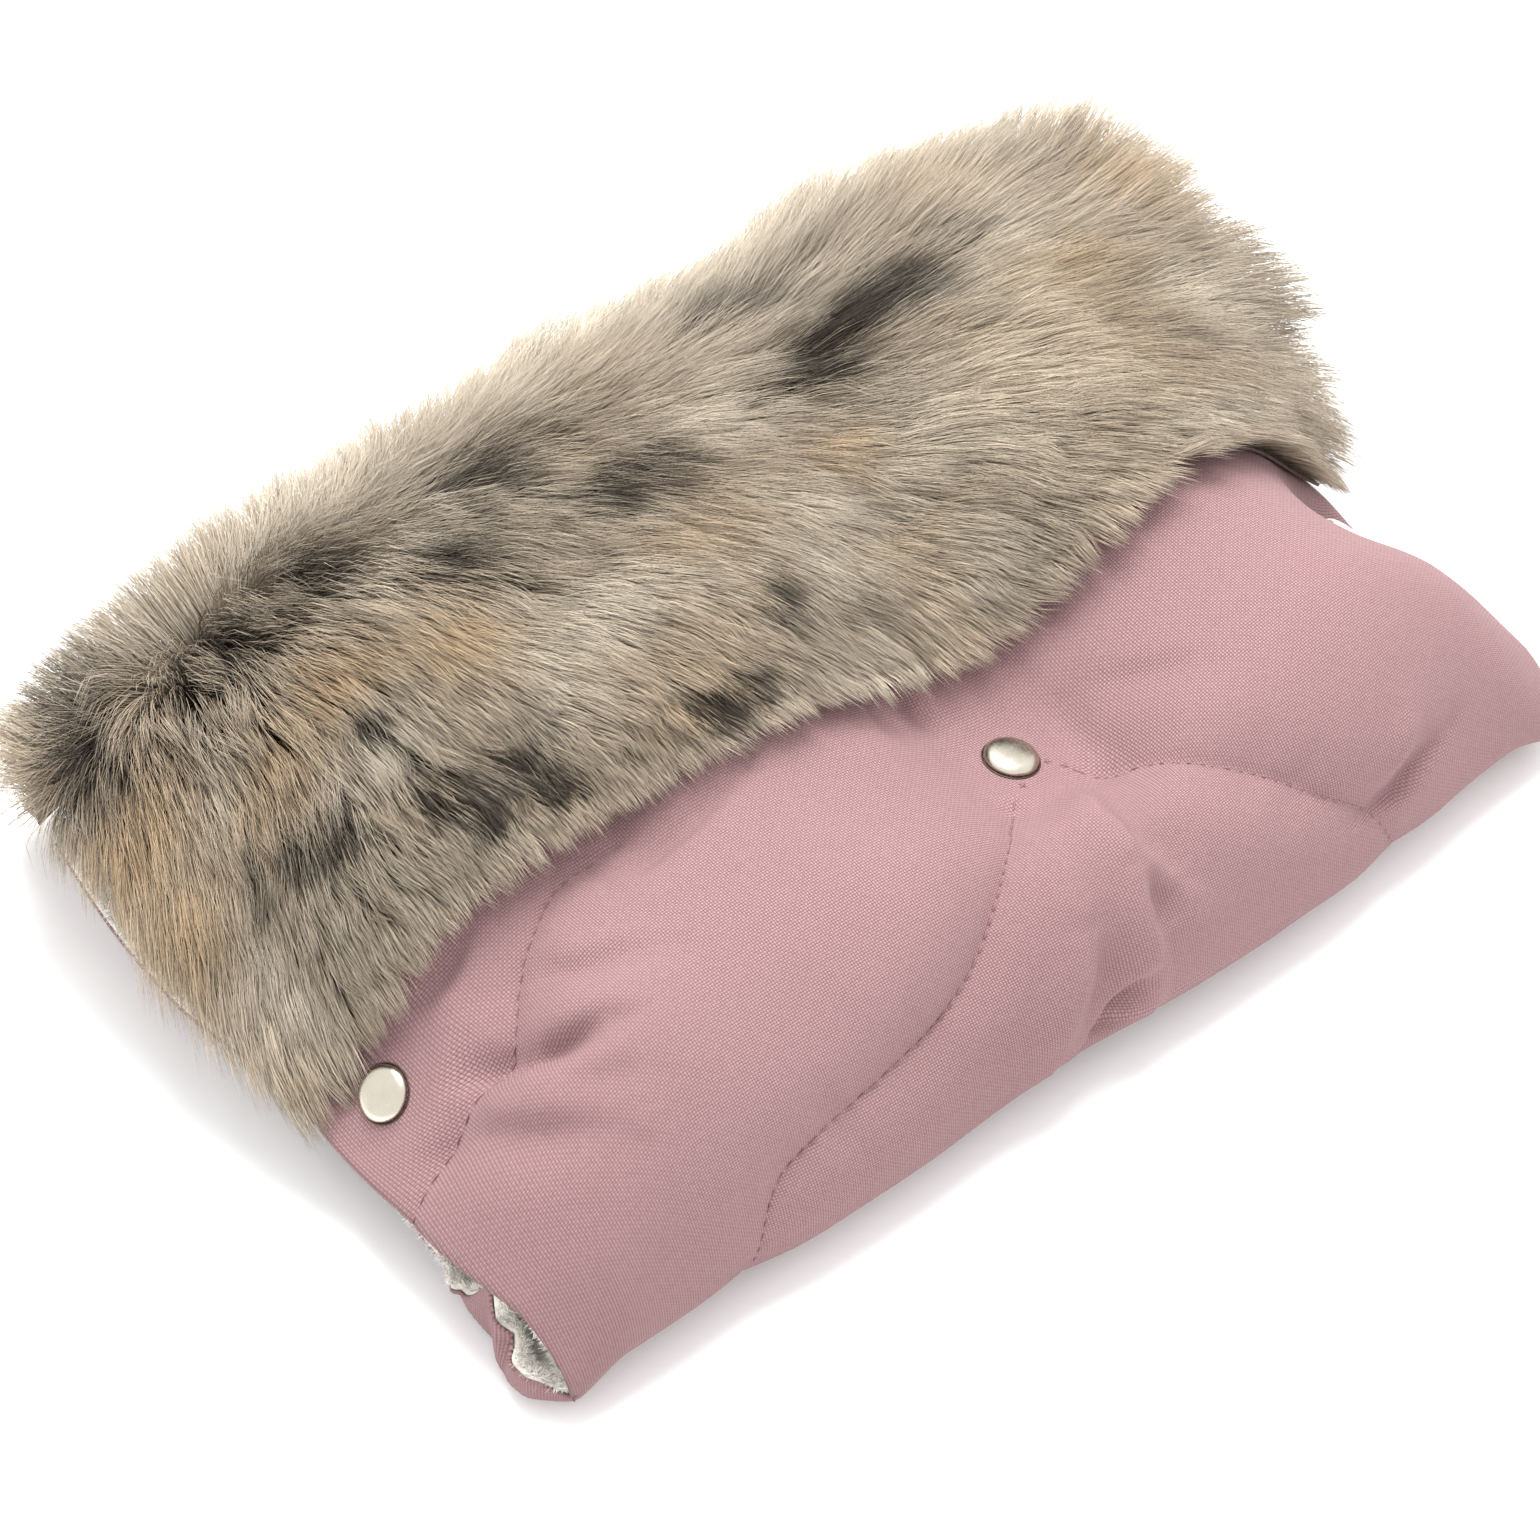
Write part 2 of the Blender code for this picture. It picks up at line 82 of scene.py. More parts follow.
# Upper panel
CROWN = 0.079
ARCH_DEPTH = 0.062
ARCH_LENGTH = 0.095
BACK_FALL_START = 0.178
BACK_ROUND = 0.98
BACK_RIM_Z = 0.060
MOUTH_FALL = 0.55
MOUTH_POWER = (2.3, 3.6)
RIGHT_POWER_FALL = (1.3, 0.03, 0.07)
MOUTH_RIM_Z = 0.030
MOUTH_CURL = 0.016
MOUTH_BACK_RISE = (0.020, 0.10, 0.20)
WAIST_X = 0.034
WAIST_WIDTH = 0.036
WAIST_DEPTH = (0.013, 0.03, 0.12)
WAIST_EASE = (0.5, 0.14, 0.20)

# Lower panel
CURL_DEPTH = 0.030
CURL_LENGTH = 0.040
LOWER_END_RISE = (0.008, 0.01, 0.05)
LOWER_END_START = 0.80
LOWER_BACK_RISE = 0.014
LOWER_BACK_START = 0.182
LIP_HEIGHT = 0.013
LIP_D = ((-0.003, 0.010), (0.028, 0.050))
LIP_PEAK = 0.012
LIP_PEAK_D = 0.0300
LIP_PEAK_WIDTH = 0.0065
LIP_ROUNDING = 0.004
LIP_LEAST = (0.0, 0.003)
LIP_LEAN = 0.20
LIP_REACH = 0.009
LIP_REACH_D = ((0.0, 0.012), (0.020, 0.040))
LIP_CREASE = 0.0050
LIP_CREASE_D = 0.0215
LIP_CREASE_WIDTH = 0.0026

# Layers
CANVAS = 0.0009
GAP = 0.0003
UPPER_LOFT = 0.0135
LOWER_LOFT = 0.0105
HEM = 0.0043
HEM_SWELL = (0.016, 1.3)
HEM_FILL = (0.002, 0.016)
HEM_ROLL = 0.0165
# Where the fleece rolls out at a mouth: its share, and its rise and fall in metres of cloth from the fold
ROLLS = ((1.0, (0.006, 0.026), (0.028, 0.042)), (0.40, (0.030, 0.048), (0.070, 0.105)))
ROLL_WIDTH = 0.028
HEM_TUCK = 0.0045
TUCK_BACK = (0.092, 0.112)
TUCK_FOLD = (0.006, 0.020)
TUCK_FOLD_SHARE = 1.7
PINCHED = 0.0045
FLEECE = 0.0021
FLEECE_LUMP = 0.0006
FLEECE_GRAIN = (0.006, 0.006, 9)
FOLD_LOFT_D = 0.03
LOFT_CHANGE = 0.02
SEAM_SQUEEZE = 0.28
LEAST_SHARE = 0.35
PAD_ROWS = 4
PAD_COLUMNS = 9

# Cloth grid, in metres of cloth
UPPER_LENGTH = ARCH_LENGTH + PANEL_DEPTH - ARCH_DEPTH
LOWER_LENGTH = CURL_LENGTH + PANEL_DEPTH - CURL_DEPTH
COLUMNS = 232
UPPER_STEP = 0.0015
LOWER_STEP = 0.0060
FOLD_BEND = 0.012
LIP_END = 0.066

# Press studs as in the solids: middle of the cap on the canvas as (x, d, z), and the way it faces
STUDS = {
    "left": ((-0.167, 0.088, 0.040), (-0.68, 0.0, 0.73)),
    "middle": ((0.022, 0.068, 0.052), (0.22, 0.03, 0.97)),
    "right": ((0.161, 0.088, 0.028), (0.68, 0.0, 0.73)),
}
STACK = 0.0148
PINCH_RADIUS = 0.0132
PINCH_POWER = 1.25
PINCH_TAIL = 0.02
DIMPLE = (0.016, 1.5)
UPPER_TILT = 0.020
LOWER_TILT = 0.0135
# Radius of the flat cloth round each cap, and how far beyond it the cloth is drawn down
CAP_PINCH = {"left": (0.0120, 0.012), "middle": (0.0120, 0.030), "right": (0.0100, 0.009)}
# How far round each stud the lower panel is drawn up
LOWER_PINCH = {"left": 0.017, "middle": 0.026, "right": 0.017}

# Colours, linear
ROSE = (0.334, 0.204, 0.209)
# ROSE_SHADE is the rose painted into the low places between the threads, as painted shade
ROSE_SHADE = (0.166, 0.086, 0.090)
CREAM = (0.80, 0.755, 0.68)
NAP_WHITE = (0.94, 0.91, 0.85)
WADDING_WHITE = (0.70, 0.70, 0.68)
NICKEL = (0.55, 0.51, 0.43)
# Colour of the dark ring under each cap, a painted shadow
CAP_SHADOW_COLOUR = (0.12, 0.09, 0.07)
THREAD = (0.245, 0.119, 0.130)
BACKING_DARK = (0.050, 0.036, 0.027)
BACKING_LIGHT = (0.12, 0.088, 0.065)
FLOOR_WHITE = (0.93, 0.93, 0.93)


def passed(value, low, high):
    """Share of the way from low to high, kept within 0 and 1."""
    return np.clip((value - low) / (high - low), 0.0, 1.0)


def smooth(value, low, high):
    """The same share, easing in and out."""
    share = passed(value, low, high)
    return share * share * (3.0 - 2.0 * share)


def ramp(value, size, low, high):
    """Rises from 0 to a size between two places."""
    return size * smooth(value, low, high)


def window(value, rise, fall):
    """1 between a rise and a fall, each a pair of places, and 0 outside them."""
    return smooth(value, *rise) * (1.0 - smooth(value, *fall))


def bell(distance, width, power=2):
    """1 at no distance, easing to 0 over a few widths."""
    return np.exp(-(distance / width) ** power)


def rounding(d, depth):
    """A quarter circle: 0 and steep at d = 0, 1 and level from its depth on."""
    return np.sqrt(1.0 - np.clip(1.0 - d / depth, 0.0, 1.0) ** 2)


def from_least(value, reach):
    """LEAST_SHARE at 0, and 1 from the reach on."""
    return LEAST_SHARE + (1.0 - LEAST_SHARE) * smooth(value, 0.0, reach)


def unit(vectors):
    vectors = np.asarray(vectors, float)
    return vectors / np.maximum(np.linalg.norm(vectors, axis=-1, keepdims=True), 1e-12)


def between(grid, i, j, next_i, next_j, a, b):
    """Values between four neighbours on a grid, at the shares a and b of the way to the next ones."""
    near = grid[i, j] * (1 - a) + grid[next_i, j] * a
    far = grid[i, next_j] * (1 - a) + grid[next_i, next_j] * a
    return near * (1 - b) + far * b


NOISE_SEED = 41
NOISE_SIZE = 256
NOISE_TABLE = np.random.default_rng(NOISE_SEED).random((NOISE_SIZE, NOISE_SIZE)) * 2.0 - 1.0


def noise(u, v, grain):
    """Smooth noise from -1 to 1 on a plane; a grain is the length and width of a bump, and a number."""
    length, width, number = grain
    u, v = np.asarray(u / length, float) + 17.3 * number, np.asarray(v / width, float) + 31.7 * number
    i, j = np.floor(u).astype(int), np.floor(v).astype(int)
    a, b = smooth(u - i, 0.0, 1.0), smooth(v - j, 0.0, 1.0)
    i, next_i = i % NOISE_SIZE, (i + 1) % NOISE_SIZE
    j, next_j = j % NOISE_SIZE, (j + 1) % NOISE_SIZE
    return between(NOISE_TABLE, i, j, next_i, next_j, a, b)


# Form of the cloth: t runs 0 to 1 along the muff, and s is metres of cloth from the fold,
# positive over the upper panel and negative under the lower one

def plan(t, s):
    """Plan place of the cloth: x along the muff and d back from the fold."""
    over = s >= 0
    depth = np.where(over, ARCH_DEPTH, CURL_DEPTH)
    length = np.where(over, ARCH_LENGTH, CURL_LENGTH)
    run = np.abs(s)
    angle = np.clip(run / length, 0.0, 1.0) * math.pi / 2
    d = depth * (1.0 - np.cos(angle)) + np.maximum(run - length, 0.0)
    left = LEFT_END - ramp(d, *LEFT_END_BULGE) - MOUTH_FLARE
    inset = (LOWER_INSET + MOUTH_FLARE) * window(d, *INSET_D)
    inset = inset - LIP_REACH * window(d, *LIP_REACH_D) - lip_height(d)
    start = left + np.where(over, 0.0, inset)
    end = right_end(d) - np.where(over, 0.0, inset)
    return start + (end - start) * t, d


def right_end(d):
    return RIGHT_END - ramp(d, *RIGHT_END_TAPER)


def corner_recess(x, d):
    """How far the fold runs back at its right end."""
    return ramp(x, *RIGHT_CORNER_RECESS) * (1.0 - smooth(d, *RECESS_FALL))


def from_hem(t):
    """Metres along the muff from the nearer mouth's hem."""
    return np.minimum(t, 1.0 - t) * (RIGHT_END - LEFT_END)


def lip_height(d):
    """How much cloth the lower panel's ends turn up as a lip: most where it leans on the upper rim."""
    return LIP_HEIGHT * window(d, *LIP_D) + LIP_PEAK * bell(d - LIP_PEAK_D, LIP_PEAK_WIDTH)


def fold_droop(t, d):
    """How far the fold sinks at its two ends."""
    return FOLD_DROOP * (1.0 - smooth(from_hem(t), *DROOP_FALL)) * (1.0 - smooth(d, *DROOP_FALL))


def stud_point(name, depth):
    point, facing = STUDS[name]
    facing = unit(facing)
    return np.array(point) - depth * facing, facing


def stud_distance(x, d, name, depth, flat=PINCH_RADIUS):
    point, _ = stud_point(name, depth)
    return np.maximum(np.hypot(x - point[0], d - point[1]) - flat, 0.0)


def pinch(z, x, d, name, depth, flat, reach, tilt_limit):
    """Draw the cloth to a stud: flat under it and easing out over its reach."""
    point, facing = stud_point(name, depth)
    along = np.clip(x - point[0], -tilt_limit, tilt_limit)
    back = np.clip(d - point[1], -tilt_limit, tilt_limit)
    plane = point[2] - (facing[0] * along + facing[1] * back) / facing[2]
    hold = bell(stud_distance(x, d, name, depth, flat), reach, PINCH_POWER)
    return z + (plane - z) * passed(hold, PINCH_TAIL, 1.0)


def upper_height(x, d, t):
    """Outside of the upper panel: arch, back fall, waist, mouths and studs."""
    z = FOLD_Z + (CROWN - FOLD_Z) * rounding(d, ARCH_DEPTH)
    back = passed(d, BACK_FALL_START, PANEL_DEPTH)
    z = z - (CROWN - BACK_RIM_Z) * (1.0 - np.sqrt(1.0 - BACK_ROUND * back ** 2))
    waist = ramp(d, *WAIST_DEPTH) * (1.0 - ramp(d, *WAIST_EASE))
    z = z - waist * bell(x - WAIST_X, WAIST_WIDTH)
    mouth = passed(np.abs(2.0 * t - 1.0), MOUTH_FALL, 1.0)
    right_power = MOUTH_POWER[1] - ramp(d, *RIGHT_POWER_FALL)
    mouth = mouth ** np.where(t < 0.5, MOUTH_POWER[0], right_power)
    rim = FOLD_Z + (MOUTH_RIM_Z - FOLD_Z) * rounding(d, MOUTH_CURL) + ramp(d, *MOUTH_BACK_RISE)
    z = z * (1.0 - mouth) + rim * mouth
    for name, (flat, reach) in CAP_PINCH.items():
        z = pinch(z, x, d, name, 0.0, flat, reach, UPPER_TILT)
    return z


def lower_height(x, d, t):
    """Underside of the lower panel: flat, and curled up to the fold, the mouths and the back."""
    z = FOLD_Z * (1.0 - rounding(d, CURL_DEPTH))
    z = z + ramp(d, *LOWER_END_RISE) * passed(np.abs(2.0 * t - 1.0), LOWER_END_START, 1.0) ** 2
    z = z + LOWER_BACK_RISE * passed(d, LOWER_BACK_START, PANEL_DEPTH) ** 2
    for name, reach in LOWER_PINCH.items():
        z = pinch(z, x, d, name, STACK, PINCH_RADIUS, reach, LOWER_TILT)
    return z


def lip(points, t, d):
    """Turn the lower panel's ends up beside the fold, as the lip of each mouth."""
    height = lip_height(d)
    left = height - from_hem(t)
    turned = 0.5 * (left + np.sqrt(left ** 2 + LIP_ROUNDING ** 2)) * smooth(height, *LIP_LEAST)
    crease = LIP_CREASE * bell(d - LIP_CREASE_D, LIP_CREASE_WIDTH) * np.clip(turned / LIP_HEIGHT, 0.0, 1.0)
    inward = (1.0 + LIP_LEAN) * turned + crease
    points[..., 0] += np.where(t < 0.5, inward, -inward)
    points[..., 2] += turned
    return points


def canvas_form(t, s):
    """Points of the canvas before its quilting and creases."""
    x, d = plan(t, s)
    z = np.where(s >= 0, upper_height(x, d, t), lower_height(x, d, t)) - fold_droop(t, d)
    points = np.stack([x + PLAN_SHIFT_X, FOLD_Y + d + corner_recess(x, d), z], axis=-1)
    return np.where((s >= 0)[..., None], points, lip(points.copy(), t, d))


def outward(points):
    """Unit normals of a grid of points, out of the muff."""
    return unit(np.cross(np.gradient(points, axis=0), np.gradient(points, axis=1)))


def loft(t, s):
    """Thickness of the padding: full in the middle, thin at its hems, its fold and its studs."""
    x, d = plan(t, s)
    edge = np.minimum(from_hem(t), PANEL_DEPTH - d)
    swell = 1.0 - bell(np.maximum(edge, 0.0), *HEM_SWELL)
    swell = swell * from_least(d, FOLD_LOFT_D)
    upper = smooth(s, -LOFT_CHANGE, LOFT_CHANGE)
    thick = HEM + (LOWER_LOFT + (UPPER_LOFT - LOWER_LOFT) * upper - HEM) * swell
    for name in STUDS:
        away = np.where(s >= 0, stud_distance(x, d, name, 0.0), stud_distance(x, d, name, STACK))
        thick = thick + (PINCHED - thick) * bell(away, *DIMPLE)
    return thick


def cloth_grid():
    """The grid of t and s that all the layers share."""
    rows = np.concatenate([
        -np.linspace(LOWER_LENGTH, LIP_END, round((LOWER_LENGTH - LIP_END) / LOWER_STEP), endpoint=False),
        np.linspace(-LIP_END, UPPER_LENGTH, round((UPPER_LENGTH + LIP_END) / UPPER_STEP)),
    ])
    columns = np.linspace(0.0, 1.0, COLUMNS)
    return np.meshgrid(columns, rows, indexing="ij")


# Quilting and folds of the canvas, as lines of (x, s) on the cloth, in millimetres
QUILTING = {
    "front_left": (
        (19, 96), (16.6, 92.6), (1.3, 76), (-18.7, 54.7), (-32.8, 41.7), (-49.5, 33.5), (-63.5, 30.5),
        (-82.3, 27.5), (-99.7, 22.8), (-106.6, 18.5), (-111.9, 8.2), (-117, -8), (-124, -30),
    ),
    "front_right": (
        (27, 98.5), (31.9, 92.6), (33.7, 88.2), (42, 80.4), (54.5, 62.2), (63.8, 51.2), (72.5, 41.3),
        (80.1, 31.5), (94.5, 18.1), (99, 10), (106, -8), (114, -30),
    ),
    "left_end": (
        (-88, 127), (-101.7, 126.1), (-108.8, 125.3), (-116.6, 121.7), (-134.7, 111.9), (-140.4, 104),
        (-147.9, 98.5), (-155.9, 100.1), (-168.2, 96.9), (-176.5, 93.4), (-186, 89),
    ),
    "right_end": (
        (100, 160), (125, 154), (150, 150), (172, 147),
    ),
}
# Depth and width of a seam's valley and of the crease at its thread; one seam has only its puckers
SEAM_VALLEY = (0.0040, 0.0120)
SEAM_CREASE = (0.0018, 0.0024)
SEAM_FADE = 0.036
FLAT_SEAM = "right_end"
PUCKER_HEIGHT = 0.0011
PUCKER_REACH = 0.0110
PUCKER_CLEAR = 0.002
PUCKER_SIZE = (0.0080, 0.030)
WAVES = ((0.0010, (0.060, 0.050, 1)), (0.0004, (0.022, 0.020, 2)))
FOLD_DEPTH = 1.5
FOLD_NARROW = 0.95
FOLD_END = 0.06
FOLD_END_POWER = 0.7
CAP_CLEAR = 0.006
QUILT_RISE = (-0.040, -0.012)
HEM_CALM = 0.014
# Each fold: its line, its height (a hollow is negative), and its width to the left and right of the line
FOLDS = (
    (((28.7, 86.3), (21.1, 63.8), (21.7, 50.4), (31.1, 29.1)), 2.4, 4, 10),
    (((33.5, 81), (29, 55.9), (31.5, 42.5), (35, 33)), -2.2, 11, 5),
    (((21.9, 48), (17.6, 35.4), (15.4, 16.5), (16, 1.1)), 2.8, 3.5, 9),
    (((22.5, 45), (22, 32.3), (22, 20)), -3, 9, 3.5),
    (((-5, -4), (3.7, 4.7), (10.6, 9.8), (15, 12.9)), -4.2, 3, 5),
    (((0.5, 40), (-2.1, 27.5), (-12.1, 16.9), (-16.5, 0.7)), 2.2, 5, 10),
    (((2, 34), (1, 18.8), (-6.2, 4.7)), -2, 7, 4),
    (((93, 16.5), (105.9, 15.7), (115, 20), (128, 23.5)), -3.4, 7, 3),
    (((104.6, 24), (109.5, 28.7), (116, 38)), 1.4, 6, 4),
    (((8.2, 134), (10.2, 122.5), (15.5, 112)), -2, 4, 7),
    (((-2, 130), (0, 121), (6, 113)), -1.4, 4, 6),
    (((50, 105), (62.5, 93.4), (73, 85)), -1.2, 4, 9),
    (((-133.5, 112), (-119.7, 99.7), (-100, 91)), -2, 4, 8),
    (((-145, 93), (-132.6, 86.7), (-123, 84)), -3.2, 3, 7),
    (((-144, 81), (-134, 74), (-122, 67)), -1.4, 4, 7),
    (((-166, 95.5), (-153.1, 77), (-137, 61)), -3, 4, 8),
    (((-167, 117), (-159.2, 111.5), (-154.2, 103.6), (-148.6, 96.9),
      (-136.4, 87), (-125, 82.3)), -3.2, 6, 3),
    (((-135, 130), (-144.6, 126.9), (-151.3, 126.5), (-161, 126.1)), -2.6, 3, 4),
    (((-98, 124), (-88.7, 115.8), (-71, 118.6), (-48, 125.5)), -2.4, 6, 3),
    (((-181, 122), (-172, 120)), -1.6, 2, 3),
)


def rounded(line, times=2):
    """A line with its corners cut off and cut off again, until it reads as a curve."""
    for _ in range(times):
        cut = np.stack([0.75 * line[:-1] + 0.25 * line[1:], 0.25 * line[:-1] + 0.75 * line[1:]], axis=1)
        line = np.concatenate([line[:1], cut.reshape(-1, 2), line[-1:]])
    return line


SEAMS = {name: rounded(np.array(points) * MM) for name, points in QUILTING.items()}


def along_line(x, s, points):
    """Distance from a line of (x, s) points, length and share of it passed, and 1 on its left or -1."""
    best = np.full(x.shape, 1e9)
    place = np.zeros(x.shape)
    side = np.ones(x.shape)
    before = 0.0
    for start, end in zip(points, points[1:]):
        way = end - start
        length = np.hypot(*way)
        along, across = x - start[0], s - start[1]
        share = np.clip((along * way[0] + across * way[1]) / length ** 2, 0.0, 1.0)
        away = np.hypot(along - way[0] * share, across - way[1] * share)
        place = np.where(away < best, before + share * length, place)
        side = np.where(away < best, np.sign(way[0] * across - way[1] * along), side)
        best = np.minimum(best, away)
        before += length
    return best, place, place / before, side


def seam_pull(x, s):
    """1 on the quilting seams, easing to 0 beside them."""
    nearest = np.min([along_line(x, s, points)[0] for points in SEAMS.values()], axis=0)
    return bell(nearest, SEAM_VALLEY[1])


def quilted(t, s):
    """How far the canvas stands out from its form: valleys at the seams, puckers and folds."""
    x, d = plan(t, s)
    out = sum(height * noise(x, s, grain) for height, grain in WAVES)
    for index, (name, points) in enumerate(SEAMS.items()):
        away, place, _, _ = along_line(x, s, points)
        if name != FLAT_SEAM:
            valley = SEAM_VALLEY[0] * bell(away, SEAM_VALLEY[1])
            crease = SEAM_CREASE[0] * bell(away, SEAM_CREASE[1], 1)
            out = out - (valley + crease) * from_least(s, SEAM_FADE)
        ripple = PUCKER_HEIGHT * noise(place, away, (*PUCKER_SIZE, 3 + index))
        out = out + ripple * bell(away, PUCKER_REACH, 1) * (1.0 - bell(away, PUCKER_CLEAR, 1))
    for points, height, left, right in FOLDS:
        away, _, share, side = along_line(x, s, np.array(points) * MM)
        ends = np.sin(math.pi * np.clip(share, FOLD_END, 1.0 - FOLD_END)) ** FOLD_END_POWER
        width = FOLD_NARROW * MM * np.where(side > 0, left, right)
        out = out + FOLD_DEPTH * MM * height * ends * bell(away, width)
    for name in STUDS:
        out = out * (1.0 - bell(stud_distance(x, d, name, 0.0), CAP_CLEAR))
    return out * smooth(s, *QUILT_RISE) * from_least(from_hem(t), HEM_CALM)


# Meshes

# A slanted direction from which the sides of strands and stitches are worked out
ASKEW = (0.31, 0.52, 0.79)


def mesh_object(name, points, faces):
    """A mesh from arrays: faces is a list of index arrays of one width each."""
    mesh = bpy.data.meshes.new(name)
    points = np.asarray(points, np.float32).reshape(-1, 3)
    widths = np.concatenate([np.full(len(part), part.shape[1]) for part in faces])
    corners = np.concatenate([part.reshape(-1) for part in faces]).astype(np.int32)
    mesh.vertices.add(len(points))
    mesh.vertices.foreach_set("co", points.ravel())
    mesh.loops.add(len(corners))
    mesh.loops.foreach_set("vertex_index", corners)
    mesh.polygons.add(len(widths))
    starts = np.concatenate([[0], np.cumsum(widths)[:-1]]).astype(np.int32)
    mesh.polygons.foreach_set("loop_start", starts)
    mesh.update(calc_edges=True)
    mesh.validate()
    mesh.shade_smooth()
    made = bpy.data.objects.new(name, mesh)
    bpy.context.scene.collection.objects.link(made)
    return made


def ring_walls(index):
    """Faces between rings that follow each other; the last axis of the indices runs round a ring."""
    after = np.roll(index, -1, axis=-1)
    walls = [index[..., :-1, :], after[..., :-1, :], after[..., 1:, :], index[..., 1:, :]]
    return np.stack(walls, axis=-1).reshape(-1, 4)


def uv_layer(mesh, name, values):
    """A UV map from one (u, v) for each corner."""
    layer = mesh.uv_layers.new(name=name)
    layer.data.foreach_set("uv", np.asarray(values, np.float32).ravel())


def corner_vertices(mesh):
    found = np.zeros(len(mesh.loops), np.int32)
    mesh.loops.foreach_get("vertex_index", found)
    return found


def slab(name, over, under, uv, surface):
    """One closed sheet between two grids of points that share their layout, with UVs in metres."""
    rows, columns = over.shape[:2]
    index = np.arange(rows * columns).reshape(rows, columns)
    a, b, c, e = index[:-1, :-1], index[1:, :-1], index[1:, 1:], index[:-1, 1:]
    top = np.stack([a, b, c, e], axis=-1).reshape(-1, 4)
    low = np.stack([a, e, c, b], axis=-1).reshape(-1, 4) + rows * columns
    rim = np.concatenate([index[:, 0], index[-1, 1:], index[-2::-1, -1], index[0, -2:0:-1]])
    after = np.roll(rim, -1)
    wall = np.stack([after, rim, rim + rows * columns, after + rows * columns], axis=-1)
    points = np.concatenate([over.reshape(-1, 3), under.reshape(-1, 3)])
    made = mesh_object(name, points, [np.concatenate([top, low, wall])])
    both = np.concatenate([uv.reshape(-1, 2)] * 2)
    uv_layer(made.data, "cloth", both[corner_vertices(made.data)])
    made.data.materials.append(surface)
    return made


# Materials

WEAVE_PITCH = 0.00075


class Shader:
    """A material's node tree with its Principled shader, and short ways to add nodes."""

    def __init__(self, name, roughness, **constants):
        self.material = bpy.data.materials.new(name)
        self.material.use_nodes = True
        self.tree = self.material.node_tree
        self.principled = self.tree.nodes["Principled BSDF"]
        self.principled.inputs["Roughness"].default_value = roughness
        for socket, value in constants.items():
            self.principled.inputs[socket.replace("_", " ")].default_value = value

    def feed(self, socket, value):
        if isinstance(value, bpy.types.NodeSocket):
            self.tree.links.new(value, socket)
        else:
            socket.default_value = value

    def node(self, kind, output, inputs=None, **settings):
        """Add a node, set it up, feed its inputs and give back one of its outputs."""
        made = self.tree.nodes.new(kind)
        for key, value in settings.items():
            setattr(made, key, value)
        for key, value in (inputs or {}).items():
            self.feed(made.inputs[key], value)
        return made.outputs[output]

    def math(self, operation, a, b=0.0):
        return self.node("ShaderNodeMath", 0, {0: a, 1: b}, operation=operation)

    def mix(self, share, a, b):
        return self.node("ShaderNodeMix", 2, {"Factor": share, 6: a, 7: b}, data_type="RGBA")

    def noise(self, vector, scale, detail):
        return self.node("ShaderNodeTexNoise", "Fac", {"Vector": vector, "Scale": scale, "Detail": detail})

    def spread(self, value, low, high, to_low=0.0, to_high=1.0):
        return self.node("ShaderNodeMapRange", 0, {0: value, 1: low, 2: high, 3: to_low, 4: to_high})

    def place(self):
        return self.node("ShaderNodeTexCoord", "Object")

    def bump(self, height, distance, strength, **under):
        inputs = {"Strength": strength, "Distance": distance, "Height": height, **under}
        return self.node("ShaderNodeBump", "Normal", inputs)

    def colour(self, value):
        self.feed(self.principled.inputs["Base Color"], value)

    def normal(self, value):
        self.feed(self.principled.inputs["Normal"], value)


def opaque(colour, share=1.0):
    return (*(share * value for value in colour), 1.0)


def canvas_material():
    """Plain weave of thick threads: pads over and under in turn, darker between them, where painted shade
    fills the low places.
    """
    shader = Shader("rose_canvas", 0.82, Specular_IOR_Level=0.22, Sheen_Weight=0.03, Sheen_Roughness=0.5)
    uv = shader.node("ShaderNodeUVMap", 0, uv_map="cloth")
    waves = []
    for axis in (0, 1):
        place = shader.node("ShaderNodeSeparateXYZ", axis, {0: uv})
        waves.append(shader.math("SINE", shader.math("MULTIPLY", place, math.pi / WEAVE_PITCH)))
    turn = shader.math("MULTIPLY", *waves)
    across, along = (shader.math("ABSOLUTE", wave) for wave in waves)
    warp = shader.math("MULTIPLY", shader.math("POWER", across, 0.7), shader.math("POWER", along, 0.25))
    weft = shader.math("MULTIPLY", shader.math("POWER", along, 0.7), shader.math("POWER", across, 0.25))
    over = shader.math("GREATER_THAN", turn, 0.0)
    height = shader.math("ADD", shader.math("MULTIPLY", over, warp),
                         shader.math("MULTIPLY", shader.math("SUBTRACT", 1.0, over), weft))
    place = shader.place()
    slub = shader.spread(shader.noise(place, 900.0, 1.0), 0.3, 0.7, -0.10, 0.10)
    fade = shader.spread(shader.noise(place, 14.0, 3.0), 0.3, 0.7, -0.06, 0.06)
    tone = shader.spread(over, 0.0, 1.0, -0.14, 0.14)
    # Low places of the weave take the darker rose as painted shade; slub and fade are the yarn's own tone
    share = shader.math("ADD", shader.spread(height, 0.25, 0.95), shader.math("ADD", slub, fade))
    shader.colour(shader.mix(shader.math("ADD", share, tone), opaque(ROSE_SHADE), opaque(ROSE)))
    shader.normal(shader.bump(height, 0.00022, 0.9))
    return shader.material


def fleece_material():
    shader = Shader("cream_fleece", 0.95, Sheen_Weight=0.35, Sheen_Roughness=0.6)
    place = shader.place()
    tuft = shader.noise(place, 420.0, 4.0)
    curl = shader.noise(place, 130.0, 3.0)
    deep = shader.spread(shader.math("ADD", tuft, curl), 0.7, 1.3)
    shader.colour(shader.mix(deep, opaque(CREAM, 0.74), opaque(CREAM)))
    under = shader.bump(curl, 0.0025, 0.7)
    shader.normal(shader.bump(tuft, 0.0012, 0.8, Normal=under))
    return shader.material


